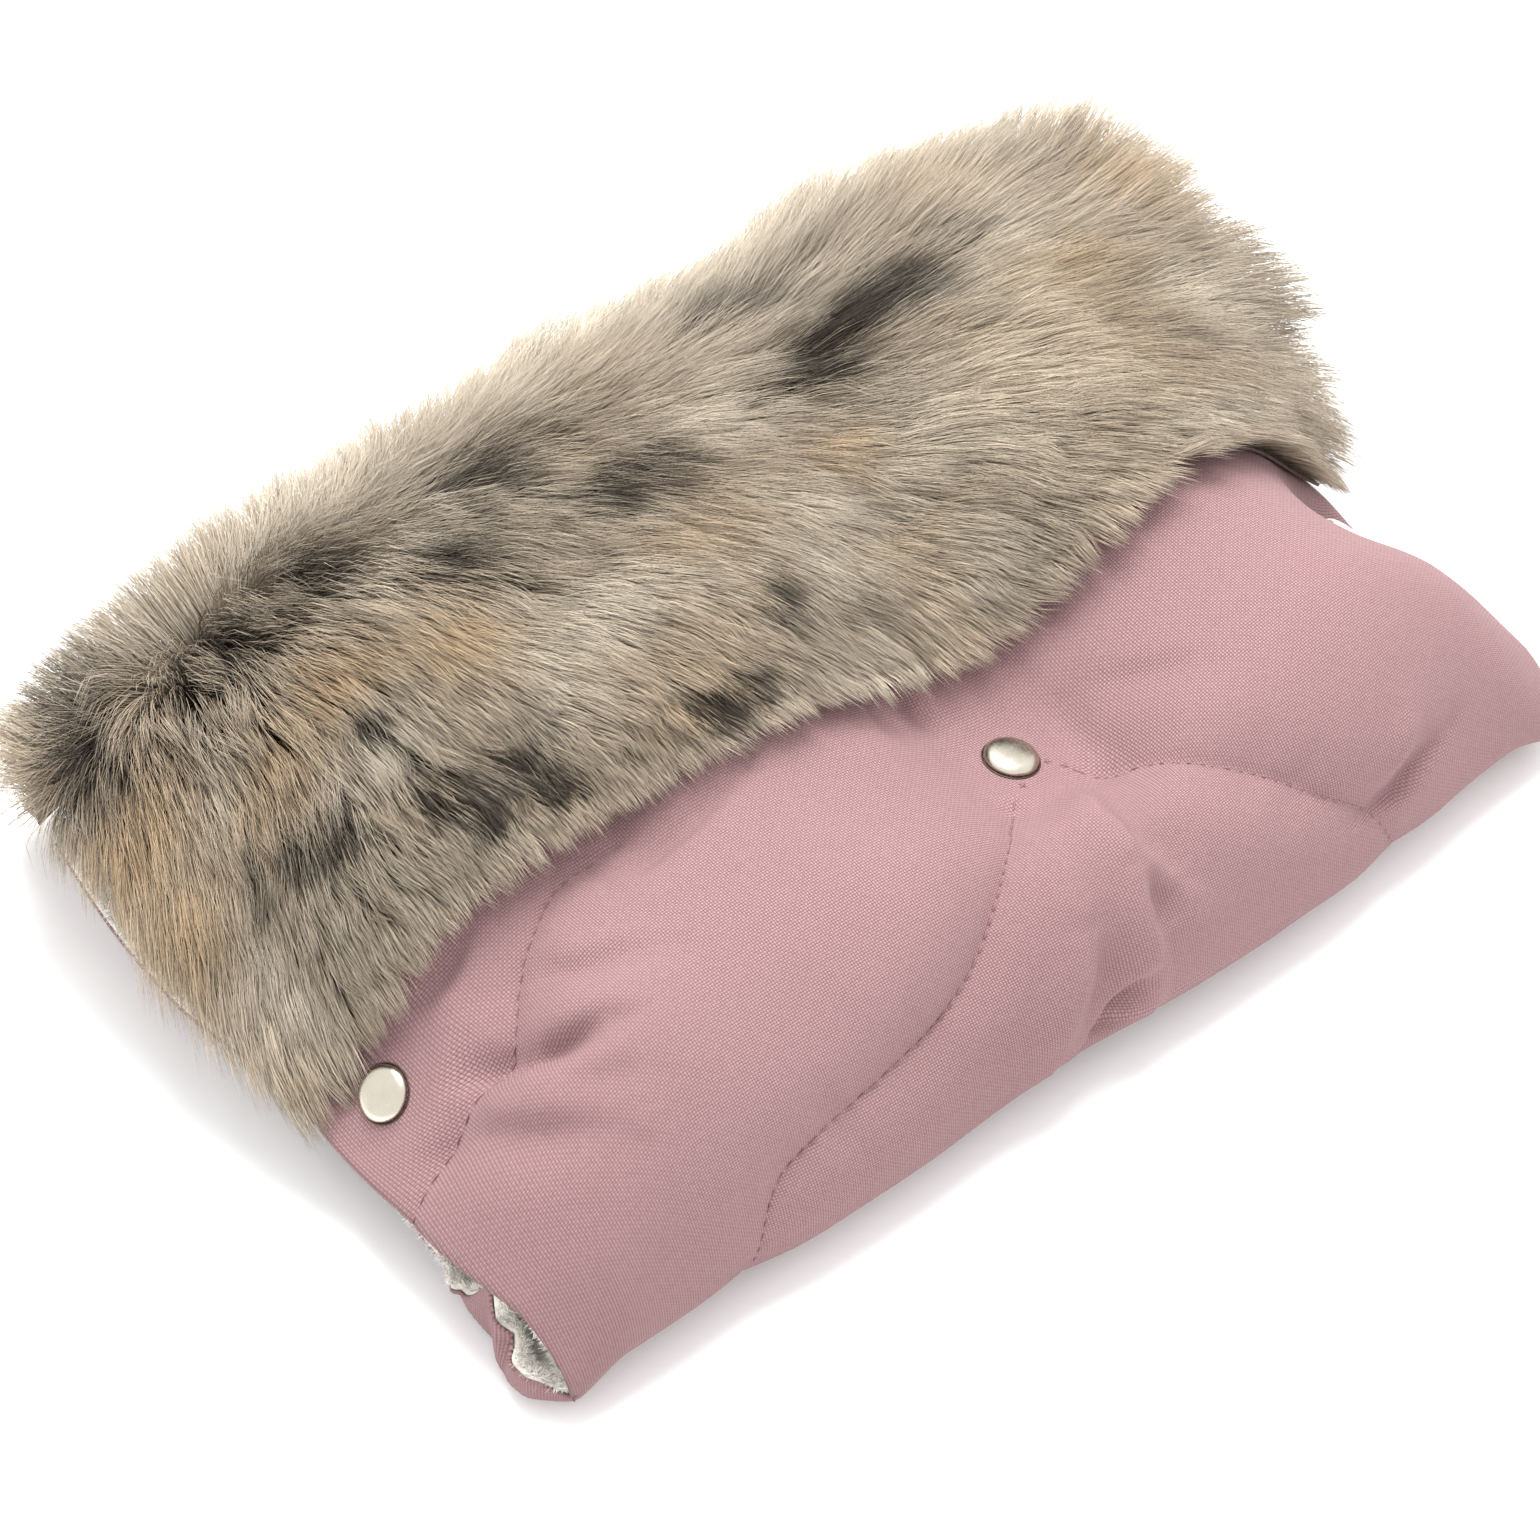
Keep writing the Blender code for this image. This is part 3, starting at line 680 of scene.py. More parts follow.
def mottled(name, roughness, scale, detail, dark, light, relief=None):
    """A surface whose fibres run from a dark to a light colour; relief is its bump's depth and strength."""
    shader = Shader(name, roughness)
    fibre = shader.noise(shader.place(), scale, detail)
    shader.colour(shader.mix(fibre, dark, light))
    if relief:
        shader.normal(shader.bump(fibre, *relief))
    return shader.material


def wadding_material():
    return mottled("polyester_wadding", 0.95, 300.0, 5.0, opaque(WADDING_WHITE, 0.8), opaque(WADDING_WHITE),
                   relief=(0.001, 0.6))


def backing_material():
    return mottled("fur_backing_cloth", 0.95, 700.0, 2.0, opaque(BACKING_DARK), opaque(BACKING_LIGHT),
                   relief=(0.0006, 0.6))


def fibre_material(name):
    """Strands that carry their own colour along their length."""
    shader = Shader(name, 0.62, Specular_IOR_Level=0.35)
    shader.colour(shader.node("ShaderNodeAttribute", "Color", attribute_name="fibre"))
    return shader.material


def nickel_material(name, colour, roughness):
    shader = Shader(name, roughness, Metallic=1.0)
    place = shader.place()
    smear = shader.noise(place, 260.0, 3.0)
    worn = shader.noise(place, 1500.0, 2.0)
    shader.colour(shader.mix(smear, opaque(colour, 0.86), opaque(colour)))
    shader.feed(shader.principled.inputs["Roughness"],
                shader.spread(shader.math("ADD", smear, worn), 0.6, 1.4, 0.75 * roughness, 1.3 * roughness))
    return shader.material


def thread_material():
    return mottled("sewing_thread", 0.6, 2500.0, 1.0, opaque(THREAD, 0.75), opaque(THREAD))


# Pieces

def quilt(surfaces):
    """Canvas and fleece, each one sheet round the fold from rim to rim, and a wadding pad in each panel."""
    t, s = cloth_grid()
    x, d = plan(t, s)
    form = canvas_form(t, s)
    ways = outward(form)
    uv = np.stack([x, s], axis=-1)
    out = quilted(t, s)
    edge = np.minimum(from_hem(t), PANEL_DEPTH - d)
    filled = smooth(edge, *HEM_FILL)
    inside = -loft(t, s) * (1.0 - SEAM_SQUEEZE * seam_pull(x, s) * filled)
    inside = inside + FLEECE_LUMP * noise(x, s, FLEECE_GRAIN)
    inside = np.minimum(inside, lowest(out) - CANVAS - FLEECE - 4.0 * GAP)
    rolled = sum(share * window(s, rise, fall) for share, rise, fall in ROLLS)
    inside = inside - HEM_ROLL * rolled * (1.0 - smooth(edge, 0.0, ROLL_WIDTH))
    behind = (inside + FLEECE) * filled + (out - CANVAS - GAP) * (1.0 - filled)

    def layer(offset):
        return form + ways * offset[..., None]

    tuck = TUCK_FOLD_SHARE * (1.0 - smooth(np.abs(s), *TUCK_FOLD))
    tuck = np.maximum(smooth(s, *TUCK_BACK), tuck)
    tuck = tuck * HEM_TUCK / (RIGHT_END - LEFT_END)
    column = (tuck + (1.0 - 2.0 * tuck) * t) * (COLUMNS - 1)
    row = np.broadcast_to(np.arange(s.shape[1]), s.shape)

    def tucked(offset):
        return sample(layer(offset), column.ravel(), row.ravel()).reshape(form.shape)

    canvas = slab("quilted_canvas", layer(out), layer(out - CANVAS), uv, surfaces["canvas"])
    lining = slab("fleece_lining", tucked(behind), tucked(inside), uv, surfaces["fleece"])
    for piece, nodes in ((canvas, ("upper_shell", "lower_shell")),
                         (lining, ("upper_lining", "lower_lining"))):
        bend_at_fold(piece)
        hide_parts(*nodes)
    for end in ("left", "right"):
        nap(end, s, tucked(behind), tucked(inside), surfaces)
    top = lowest(out - CANVAS) - GAP
    floor = layer(np.minimum(inside + FLEECE + GAP, top - GAP))
    top = layer(top)
    over = np.flatnonzero(s[0] > FOLD_BEND)[PAD_ROWS:-2 * PAD_ROWS:2]
    under = np.flatnonzero(s[0] < -FOLD_BEND)[PAD_ROWS:-PAD_ROWS:2]
    for name, body, rows in (("upper_wadding_pad", UPPER, over), ("lower_wadding_pad", LOWER, under)):
        pick = np.ix_(np.arange(PAD_COLUMNS, COLUMNS - PAD_COLUMNS, 2), rows)
        pad = slab(name, top[pick], floor[pick], uv[pick], surfaces["wadding"])
        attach(pad, body)
        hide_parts(name.replace("_pad", ""))
    return canvas


NAP_DENSITY = 4.5e6
NAP_LENGTH = 0.0019
NAP_COLUMNS = 14
NAP_RADIUS = 0.00012
NAP_CURL = 0.0007
NAP_TILT = 0.45
NAP_FROM = 0.35
NAP_FACE_ROWS = 4
NAP_POINTS = 4
NAP_CLEAR = (0.003, 0.018)
NAP_SEED = {"left": 11, "right": 12}


def nap(end, s, behind, inside, surfaces):
    """Pile of the fleece at one mouth: on the edge of the hem and just inside it."""
    generator = np.random.default_rng(NAP_SEED[end])
    if end == "right":
        behind, inside = behind[::-1], inside[::-1]
    shares = np.linspace(NAP_FROM, 1.0, NAP_FACE_ROWS)[:, None, None]
    face = behind[0] + (inside[0] - behind[0]) * shares
    grid = np.concatenate([face, inside[1:NAP_COLUMNS]])
    across = np.linalg.norm(np.diff(grid, axis=0), axis=-1).sum(axis=0).mean()
    along = np.linalg.norm(np.diff(grid, axis=1), axis=-1).sum(axis=1).mean()
    count = round(NAP_DENSITY * across * along)
    i = generator.random(count) * (grid.shape[0] - 1)
    j = generator.random(count) * (grid.shape[1] - 1)
    root = sample(grid, i, j)
    ways = np.cross(np.gradient(grid, axis=0), np.gradient(grid, axis=1))
    ways = unit(sample(ways if end == "right" else -ways, i, j))
    from_fold = np.interp(j, np.arange(s.shape[1]), s[0])
    length = NAP_LENGTH * (0.5 + 0.6 * generator.random(count))
    length = length * smooth(np.abs(from_fold), *NAP_CLEAR)
    curl = generator.standard_normal((2, count, 3))
    way = unit(ways + NAP_TILT * curl[0])
    share = np.linspace(0.0, 1.0, NAP_POINTS)[None, :, None]
    curve = root[:, None] + way[:, None] * share * length[:, None, None]
    curve = curve + NAP_CURL * curl[1][:, None] * share ** 2
    # Random tone for each strand, painted slightly darker towards its root as painted shade among the
    # fibres
    tone = (0.88 + 0.14 * generator.random(count))[:, None, None] * (0.90 + 0.10 * share)
    colours = tone * np.array(NAP_WHITE)
    piece = strand_mesh("fleece_nap_" + end, curve, colours, surfaces["nap"], NAP_RADIUS)
    bend_at_fold(piece)


def lowest(values, reach=2):
    """The least of each value and its neighbours on a grid."""
    padded = np.pad(values, reach, mode="edge")
    rows, columns = values.shape
    shifts = range(2 * reach + 1)
    return np.min([padded[i:i + rows, j:j + columns] for i in shifts for j in shifts], axis=0)


def bend_at_fold(piece):
    """Bake the piece's placing into its points; it is not bent across the front fold."""
    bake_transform(piece)


# Fur

FUR_SEED = 7
FUR_FRONT = 0.107
FUR_ROW = 0.003
FUR_PAST_T = (0.85, 1.0)
FUR_PAST_D = (0.115, 0.160)
FUR_DROP = 0.027
FUR_DROP_ROWS = 9
FUR_DROP_REACH = 0.0075
FUR_LOWEST = 0.024
FUR_BACKING = 0.0014
FUR_COLUMNS = 150
STRANDS = 118000
STRAND_POINTS = 5
STRAND_SIDES = 3
STRAND_RADIUS = 0.00010
STRAND_FLOOR = 0.001
STRAND_UNRULY = 0.14
LEAST_STAND = 0.05
ROOT_LIFT = 1.3
LOCK_UNRULY = 0.20
FUR_PIECES = 16
LOCK_SPACING = 0.0055
# How far tips hang at the left and the right end, and where the fringes of the fur lie
FUR_HANG = (0.008, 0.004)
LEFT_FRINGE = (0.0, 0.016)
RIGHT_FRINGE = (0.004, 0.030)
FRONT_FRINGE = (0.008, 0.030)
FUR_EVEN = (0.095, 0.115)
FUR_RAGGED = 0.30
# Limits that the tips ease towards, to the sides and upwards, and the length of the easing
FUR_SIDE = 0.2116
FUR_TOP = 0.1150
FUR_EASE = 0.005
# Combing guides: where on the fur (x, w), with w back from the front edge, the way it is combed (along x,
# towards the back), how far it stands up (0 lies flat, 1 stands) and its length; sizes in millimetres
GUIDE_UNITS = (MM, MM, 1.0, 1.0, 1.0, MM)
COMB_REACH = (0.045, 0.018)
GUIDES = (
    (-180, 5, -0.2, -0.98, 0.28, 15), (-120, 5, 0.05, -1, 0.3, 19), (-50, 5, 0.1, -1, 0.3, 19),
    (20, 5, 0.15, -1, 0.3, 20), (80, 5, 0.3, -0.95, 0.3, 20), (135, 5, 0.5, -0.85, 0.32, 22),
    (172, 5, 0.85, -0.5, 0.4, 13), (-180, 30, -0.4, -0.9, 0.38, 22), (-110, 30, 0.05, -1, 0.46, 29),
    (-40, 30, 0.2, -1, 0.46, 31), (30, 30, 0.35, -0.95, 0.44, 31), (90, 30, 0.55, -0.85, 0.42, 31),
    (135, 30, 0.8, -0.6, 0.46, 32), (172, 30, 1, -0.1, 0.56, 45), (-180, 65, -0.5, -0.85, 0.45, 24),
    (-120, 65, 0.1, -1, 0.52, 37), (-50, 65, 0.4, -0.95, 0.5, 37), (20, 65, 0.7, -0.75, 0.46, 37),
    (80, 65, 0.85, -0.55, 0.46, 37), (135, 65, 0.95, -0.3, 0.5, 39), (172, 65, 1, 0, 0.62, 48),
    (-180, 92, -0.3, -0.6, 0.66, 24), (-110, 92, 0.05, -1, 0.64, 38), (-40, 92, 0.55, -0.85, 0.56, 38),
    (40, 95, 0.85, -0.35, 0.5, 37), (100, 95, 1, -0.2, 0.54, 40), (172, 95, 1, 0.1, 0.7, 46),
    (-170, 118, 0, 0.75, 0.82, 34), (-90, 118, 0.15, 0.75, 0.84, 47), (-10, 118, 0.5, 0.65, 0.84, 52),
    (60, 118, 0.65, 0.6, 0.84, 51), (130, 118, 0.8, 0.45, 0.8, 49), (172, 118, 0.9, 0.3, 0.7, 41),
    (-170, 145, 0, 0.85, 0.55, 30), (-60, 145, 0.1, 0.9, 0.55, 34), (60, 145, 0.3, 0.9, 0.55, 34),
    (165, 145, 0.6, 0.7, 0.55, 30),
)
# Fibre colours, linear
FIBRE_CREAM = np.array((0.615, 0.540, 0.432))
FIBRE_GREY = np.array((0.355, 0.290, 0.215))
FIBRE_TAN = np.array((0.490, 0.338, 0.190))
FIBRE_DARK = np.array((0.020, 0.014, 0.009))
# Grains of the noise along the strands, over the fur and in their combing
FLECK, BAND, STREAK = (0.016, 0.0016, 22), (0.030, 0.0045, 24), (0.012, 0.0009, 28)
CLOUD, DARK_CLOUD, TAN_CLOUD = (0.028, 0.018, 25), (0.024, 0.016, 26), (0.030, 0.020, 27)
SWAY, STAND, RAGGED = (0.018, 0.014, 31), (0.016, 0.012, 32), (0.009, 0.009, 33)
CREAM_RANGE = (-0.45, 0.95)
DARK_RANGE = (0.42, 1.30)
TIPPED = 0.25
# Where the fur is painted paler towards the top of its roll, as painted light, and where painted shade
# darkens the roll below it
PAINTED_TOP_LIGHT_RISE = (0.110, 0.126)
ROLL_SHADE = (0.16, 0.088, 0.108)
# Places where the fur shows dark, cream or tan fibres, in millimetres: x, w, reach along x, reach along w;
# then a strength. The dark places are partly dark fibres and partly painted shade: the row near w 80 to 87
# is a painted shadow in the crease under the roll
DARK_FIBRE_AND_SHADE_PATCHES = (
    (-177, 101, 10, 13, 1.5), (-167, 122, 12, 10, 0.8), (-138, 83, 17, 7, 0.85), (-108, 80, 16, 6, 0.9),
    (-52, 83, 18, 6, 0.75), (-30, 87, 16, 6, 0.7), (-73, 65, 11, 5, 0.7), (-98, 14, 9, 7, 1.4),
    (-93, 3, 7, 5, 1.3), (-20, 67, 15, 6, 1.7), (49, 80, 14, 6, 1.6), (66, 79, 10, 5, 1.3),
    (91, 84, 14, 5, 0.8), (106, 85, 12, 5, 0.8), (126, 87, 13, 4, 0.6), (-42, 1, 14, 8, 0.75),
    (-57, 0, 9, 6, 0.5), (-33, 1, 9, 6, 0.5), (-12, 20, 9, 8, 0.6), (14, 11, 12, 7, 0.3),
    (-156, 35, 9, 10, 0.6), (-140, 27, 8, 7, 0.9), (-119, 18, 7, 7, 1.0), (-113, 8, 6, 6, 1.0),
    (-118, 42, 8, 3, 0.9), (-81, 70, 10, 4, 0.9), (33, 54, 10, 6, 0.4), (38, 104, 18, 8, 0.3),
)
CREAM_PATCHES = (
    (-25, 108, 24, 8, 0.8), (-97, 70, 13, 6, 0.7), (-50, 36, 24, 10, 0.7), (6, 72, 16, 7, 0.8),
    (-126, 33, 12, 6, 0.6), (76, 40, 34, 12, 0.8), (131, 7, 22, 10, 0.6), (148, 43, 20, 12, 0.5),
    (-81, 54, 14, 9, 0.4),
)
TAN_PATCHES = (
    (-175, 72, 12, 12, 0.9), (-178, 45, 10, 11, 0.7), (-123, 56, 15, 6, 0.8), (-89, 52, 14, 8, 0.7),
    (36, 57, 16, 8, 0.8), (130, 64, 22, 10, 0.5), (165, 86, 16, 10, 0.6), (-26, 45, 16, 8, 0.6),
    (-11, 25, 10, 7, 0.6), (-46, 4, 18, 9, 0.7), (31, 53, 12, 7, 0.6), (-141, 49, 16, 10, 0.5),
)


def fur_ground():
    """Grid that the fur is rooted in: over the back of the canvas and down behind its rim."""
    rows = np.arange(FUR_FRONT + ARCH_LENGTH - ARCH_DEPTH, UPPER_LENGTH + 1e-6, FUR_ROW)
    t, s = np.meshgrid(np.linspace(0.0, 1.0, FUR_COLUMNS), rows, indexing="ij")
    over = canvas_form(t, s)
    d = plan(t, s)[1]
    over[..., 0] += (RIGHT_END - right_end(d)) * smooth(t, *FUR_PAST_T) * smooth(d, *FUR_PAST_D)
    points = [over + outward(over) * (FUR_BACKING + GAP)]
    rim = points[0][:, -1]
    for share in np.linspace(0.15, 1.0, FUR_DROP_ROWS):
        row = rim.copy()
        row[:, 1] += FUR_DROP_REACH * math.sin(share * math.pi / 2)
        row[:, 2] -= share * np.minimum(FUR_DROP, rim[:, 2] - FUR_LOWEST)
        points.append(row[:, None])
    points = np.concatenate(points, axis=1)
    steps = np.linalg.norm(np.diff(points, axis=1), axis=-1).mean(axis=0)
    w = np.concatenate([[0.0], np.cumsum(steps)])
    return points, outward(points), w


def sample(grid, i, j):
    """Values of a grid at fractional places."""
    low_i = np.clip(np.floor(i).astype(int), 0, grid.shape[0] - 2)
    low_j = np.clip(np.floor(j).astype(int), 0, grid.shape[1] - 2)
    a, b = (i - low_i)[:, None], (j - low_j)[:, None]
    return between(grid, low_i, low_j, low_i + 1, low_j + 1, a, b)


def combed(x, w):
    """Combing at places on the fur, from the guides near them: way along x, way back, stand, length."""
    guides = np.array(GUIDES) * GUIDE_UNITS
    far = ((x[:, None] - guides[:, 0]) / COMB_REACH[0]) ** 2
    far = far + ((w[:, None] - guides[:, 1]) / COMB_REACH[1]) ** 2
    share = np.exp(-far) + 1e-9
    return (share @ guides[:, 2:]) / share.sum(axis=1, keepdims=True)


def roots(ground, normals, w_rows, spacing, generator):
    """Jittered even places on the fur's ground, with their frames."""
    across = np.linalg.norm(ground[-1] - ground[0], axis=-1).mean()
    columns = max(2, round(across / spacing))
    rows = max(2, round(w_rows[-1] / spacing))
    i, j = np.meshgrid(np.arange(columns), np.arange(rows), indexing="ij")
    i = ((i.ravel() + generator.random(i.size)) / columns) * (ground.shape[0] - 1)
    w = (j.ravel() + generator.random(j.size)) / rows * w_rows[-1]
    j = np.interp(w, w_rows, np.arange(len(w_rows)))
    root = sample(ground, i, j)
    normal = unit(sample(normals, i, j))
    along = sample(np.gradient(ground, axis=0), i, j)
    along = unit(along - normal * (along * normal).sum(axis=1, keepdims=True))
    return root, normal, along, np.cross(normal, along), w


def strand_curves(root, normal, along, back, comb, length, bend, sway):
    """Points of each strand: it leaves the ground at its stand and lies down towards its tip."""
    flow = unit(along * comb[:, :1] + back * comb[:, 1:2])
    side = np.cross(normal, flow)
    flow = unit(flow * np.cos(sway)[:, None] + side * np.sin(sway)[:, None])
    stand = np.clip(comb[:, 2], LEAST_STAND, 1.0) * math.pi / 2
    points = [root]
    step = length / (STRAND_POINTS - 1)
    for k in range(STRAND_POINTS - 1):
        share = (k + 0.5) / (STRAND_POINTS - 1)
        angle = stand * (ROOT_LIFT - bend * share)
        way = flow * np.cos(angle)[:, None] + normal * np.sin(angle)[:, None]
        points.append(points[-1] + way * step[:, None])
    return np.stack(points, axis=1)


def patches(x, w, places):
    """How strongly places on the fur belong to a set of patches."""
    total = np.zeros(x.shape)
    for patch_x, patch_w, reach_x, reach_w, strength in places:
        far = ((x / MM - patch_x) / reach_x) ** 2 + ((w / MM - patch_w) / reach_w) ** 2
        total = np.maximum(total, strength * np.exp(-far))
    return total


def fibre_colours(x, w, comb, generator):
    """Colours along each strand, whose middle lies over (x, w): dark root, pale shaft, dark or pale tip."""
    count = len(x)
    flow = unit(comb[:, :2])
    run = x * flow[:, 0] + w * flow[:, 1]
    cross = -x * flow[:, 1] + w * flow[:, 0]
    fleck = noise(run, cross, FLECK)
    band = noise(run, cross, BAND)
    # Painted light: the fibres pale towards the top of the roll
    top = smooth(w, *PAINTED_TOP_LIGHT_RISE)
    cream = 0.4 * (noise(x, w, CLOUD) + band + fleck) + 1.2 * patches(x, w, CREAM_PATCHES) + 0.6 * top
    cream = smooth(cream, *CREAM_RANGE)
    tan = np.clip(1.1 * patches(x, w, TAN_PATCHES) + 0.30 * noise(x, w, TAN_CLOUD), 0.0, 0.85)
    streak = 0.95 + 0.30 * band + 0.90 * noise(run, cross, STREAK)
    gloom = 0.45 * band + 0.60 * fleck + 0.25 * noise(x, w, DARK_CLOUD)
    # The dark patches add dark fibres and, in their row under the roll, a painted shadow
    gloom = gloom + 1.75 * patches(x, w, DARK_FIBRE_AND_SHADE_PATCHES) * streak
    dark = 0.94 * smooth(gloom, *DARK_RANGE)
    shaft = FIBRE_GREY + (FIBRE_CREAM - FIBRE_GREY) * cream[:, None]
    shaft = shaft + (FIBRE_TAN - shaft) * tan[:, None]
    shaft = shaft + (FIBRE_DARK - shaft) * dark[:, None]
    # Painted shade darkens the roll's front, but not the top that is painted pale
    shade = 1.0 - ramp(w, *ROLL_SHADE) * (1.0 - top)
    shaft = shaft * ((0.78 + 0.34 * generator.random(count)) * shade)[:, None]
    tipped = (generator.random(count) < TIPPED)[:, None]
    pale = 0.30 * (1.0 - dark)[:, None]
    root = 0.35 * shaft + 0.4 * FIBRE_DARK
    tip = np.where(tipped, root, shaft + pale * (FIBRE_CREAM - shaft))
    share = np.linspace(0.0, 1.0, STRAND_POINTS)[None, :, None]
    colour = root[:, None] + (shaft - root)[:, None] * smooth(share, 0.0, 0.45)
    return colour + (tip[:, None] - colour) * smooth(share, 0.65, 1.0)


def overshoot(reach, limit):
    """How far to draw strands back so that they ease towards a limit and never pass it."""
    past = np.maximum(reach - limit + FUR_EASE, 0.0)
    return past - FUR_EASE * (1.0 - np.exp(-past / FUR_EASE))


def grow(ground, normals, w_rows, spacing, generator, unruly, locks):
    """Strands with their curves; with locks given, each strand is drawn to the lock nearest its root."""
    root, normal, along, back, w = roots(ground, normals, w_rows, spacing, generator)
    count = len(root)
    x = root[:, 0] - PLAN_SHIFT_X
    comb = combed(x, w)
    even = smooth(w, *FUR_EVEN)
    right = 1.0 - smooth(RIGHT_END - x, *RIGHT_FRINGE)
    length = comb[:, 3] * (0.70 + 0.17 * even + (0.45 - 0.25 * even) * generator.random(count))
    length = length * (1.0 + FUR_RAGGED * noise(x, w, RAGGED) * right)
    bend = 0.95 + 0.45 * generator.random(count)
    sway = 0.22 * noise(x, w, SWAY) + unruly * generator.standard_normal(count)
    comb[:, 2] *= 0.80 + 0.4 * generator.random(count) + 0.18 * noise(x, w, STAND)
    curve = strand_curves(root, normal, along, back, comb, length, bend, sway)
    hang = FUR_HANG[0] * (1.0 - smooth(x - LEFT_END, *LEFT_FRINGE))
    hang = hang + FUR_HANG[1] * right * (1.0 - smooth(w, *FRONT_FRINGE))
    curve[..., 2] -= hang[:, None] * np.linspace(0.0, 1.0, STRAND_POINTS) ** 2
    curve[..., 2] = np.maximum(curve[..., 2], STRAND_FLOOR)
    curve[..., 0] -= np.sign(curve[..., 0]) * overshoot(np.abs(curve[..., 0]), FUR_SIDE)
    curve[..., 2] -= overshoot(curve[..., 2], FUR_TOP)
    made = {"root": root, "curve": curve, "x": x, "pull": 0.15 + 0.45 * generator.random(count)}
    if locks is None:
        return made
    tree = KDTree(len(locks["root"]))
    for k, point in enumerate(locks["root"]):
        tree.insert(point, k)
    tree.balance()
    nearest = np.array([tree.find(point)[1] for point in root])
    rise = np.linspace(0.0, 1.0, STRAND_POINTS) ** 1.3
    pull = locks["pull"][nearest][:, None, None] * rise[None, :, None]
    made["curve"] = curve + (locks["curve"][nearest] - curve) * pull
    seen = unit(comb[:, :2]) * 0.5 * length[:, None]
    made["colour"] = fibre_colours(x + seen[:, 0], w + seen[:, 1], comb, generator)
    return made


def fur(surfaces):
    """The pile as strands that gather into locks, cut into bands along the muff."""
    generator = np.random.default_rng(FUR_SEED)
    ground, normals, w_rows = fur_ground()
    backing_uv = np.stack([ground[..., 0], np.broadcast_to(w_rows, ground.shape[:2])], axis=-1)
    backing = slab("fur_backing_sheet", ground, ground - normals * (FUR_BACKING - 2 * GAP), backing_uv,
                   surfaces["backing"])
    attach(backing, UPPER)
    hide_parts("fur_backing")
    area = w_rows[-1] * (RIGHT_END - LEFT_END)
    locks = grow(ground, normals, w_rows, LOCK_SPACING, generator, LOCK_UNRULY, None)
    spacing = math.sqrt(area / STRANDS)
    strands = grow(ground, normals, w_rows, spacing, generator, STRAND_UNRULY, locks)
    order = np.argsort(strands["x"], kind="stable")
    for number, band in enumerate(np.array_split(order, FUR_PIECES)):
        piece = strand_mesh(f"fur_locks_{number + 1:02d}", strands["curve"][band], strands["colour"][band],
                            surfaces["fur"])
        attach(piece, UPPER)
        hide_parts("fur_pile")


def ringed(name, curves, sizes, sides):
    """Closed tubes along curves of equal point counts, with a size for each point along them."""
    count, rings = curves.shape[:2]
    way = unit(np.gradient(curves, axis=1))
    side = unit(np.cross(way, np.array(ASKEW)))
    other = np.cross(way, side)
    corners = []
    for turn in 2.0 * math.pi * np.arange(sides) / sides:
        corners.append(curves + sizes[None, :, None] * (math.cos(turn) * side + math.sin(turn) * other))
    index = np.arange(count * rings * sides).reshape(count, rings, sides)
    faces = [ring_walls(index), index[:, 0, ::-1], index[:, -1]]
    return mesh_object(name, np.stack(corners, axis=2), faces)


def strand_mesh(name, curves, colours, surface, thickness=STRAND_RADIUS):
    """Closed strands that taper to their tips, with their colours and a bake map."""
    count, rings = curves.shape[:2]
    share = np.linspace(0.0, 1.0, rings)
    sizes = thickness * (0.8 + 0.5 * share) * (1.0 - 0.92 * share ** 3)
    piece = ringed(name, curves, sizes, STRAND_SIDES)
    tint = np.broadcast_to(colours[:, :, None, :], (count, rings, STRAND_SIDES, 3)).reshape(-1, 3)
    tint = np.concatenate([tint, np.ones((len(tint), 1))], axis=1)
    layer = piece.data.color_attributes.new("fibre", "FLOAT_COLOR", "POINT")
    layer.data.foreach_set("color", tint.astype(np.float32).ravel())
    cells = math.ceil(math.sqrt(count))
    strand = np.arange(count)
    u = (strand % cells)[:, None, None] + np.array([0.25, 0.5, 0.75])[None, None, :]
    v = (strand // cells)[:, None, None] + (0.15 + 0.7 * share)[None, :, None]
    uv = np.stack(np.broadcast_arrays(u, v), axis=-1).reshape(-1, 2) / cells
    uv_layer(piece.data, "OFBake", uv[corner_vertices(piece.data)])
    piece.data.materials.append(surface)
    return piece


# Press studs and stitches

CAP_TURNS = 64
CAP_DOME = (0.0071, 0.0017, 0.0030)
# Profiles of (radius, height): the cap's rolled rim with its shank, and the dark ring under the rim, which
# is a painted shadow of the gap under the cap
CAP_RIM = [(0.00745, 0.0013), (0.00755, 0.0009), (0.00745, 0.0005), (0.0070, 0.0003), (0.0021, 0.0003),
           (0.0021, -0.0055), (0.0, -0.0055)]
CAP_SHADOW_RING = [(0.00755, 0.0002), (0.0080, 0.0004), (0.0081, 0.0002), (0.0079, -0.0001), (0.00755, 0.0002)]
SHARP_ANGLE = 35


def revolve(name, profile, place, surface):
    """Turn a closed profile of (radius, height) about a stud's axis; radius 0 closes an end."""
    angles = np.linspace(0.0, 2.0 * math.pi, CAP_TURNS, endpoint=False)
    ring = np.stack([np.cos(angles), np.sin(angles)], axis=-1)
    points = np.concatenate([np.column_stack([ring * radius, np.full(CAP_TURNS, height)])
                             for radius, height in profile])
    index = np.arange(len(points)).reshape(len(profile), CAP_TURNS)
    made = mesh_object(name, points, [ring_walls(index)[:, ::-1]])
    weld(made.data)
    made.data.transform(place)
    made.data.materials.append(surface)
    return made


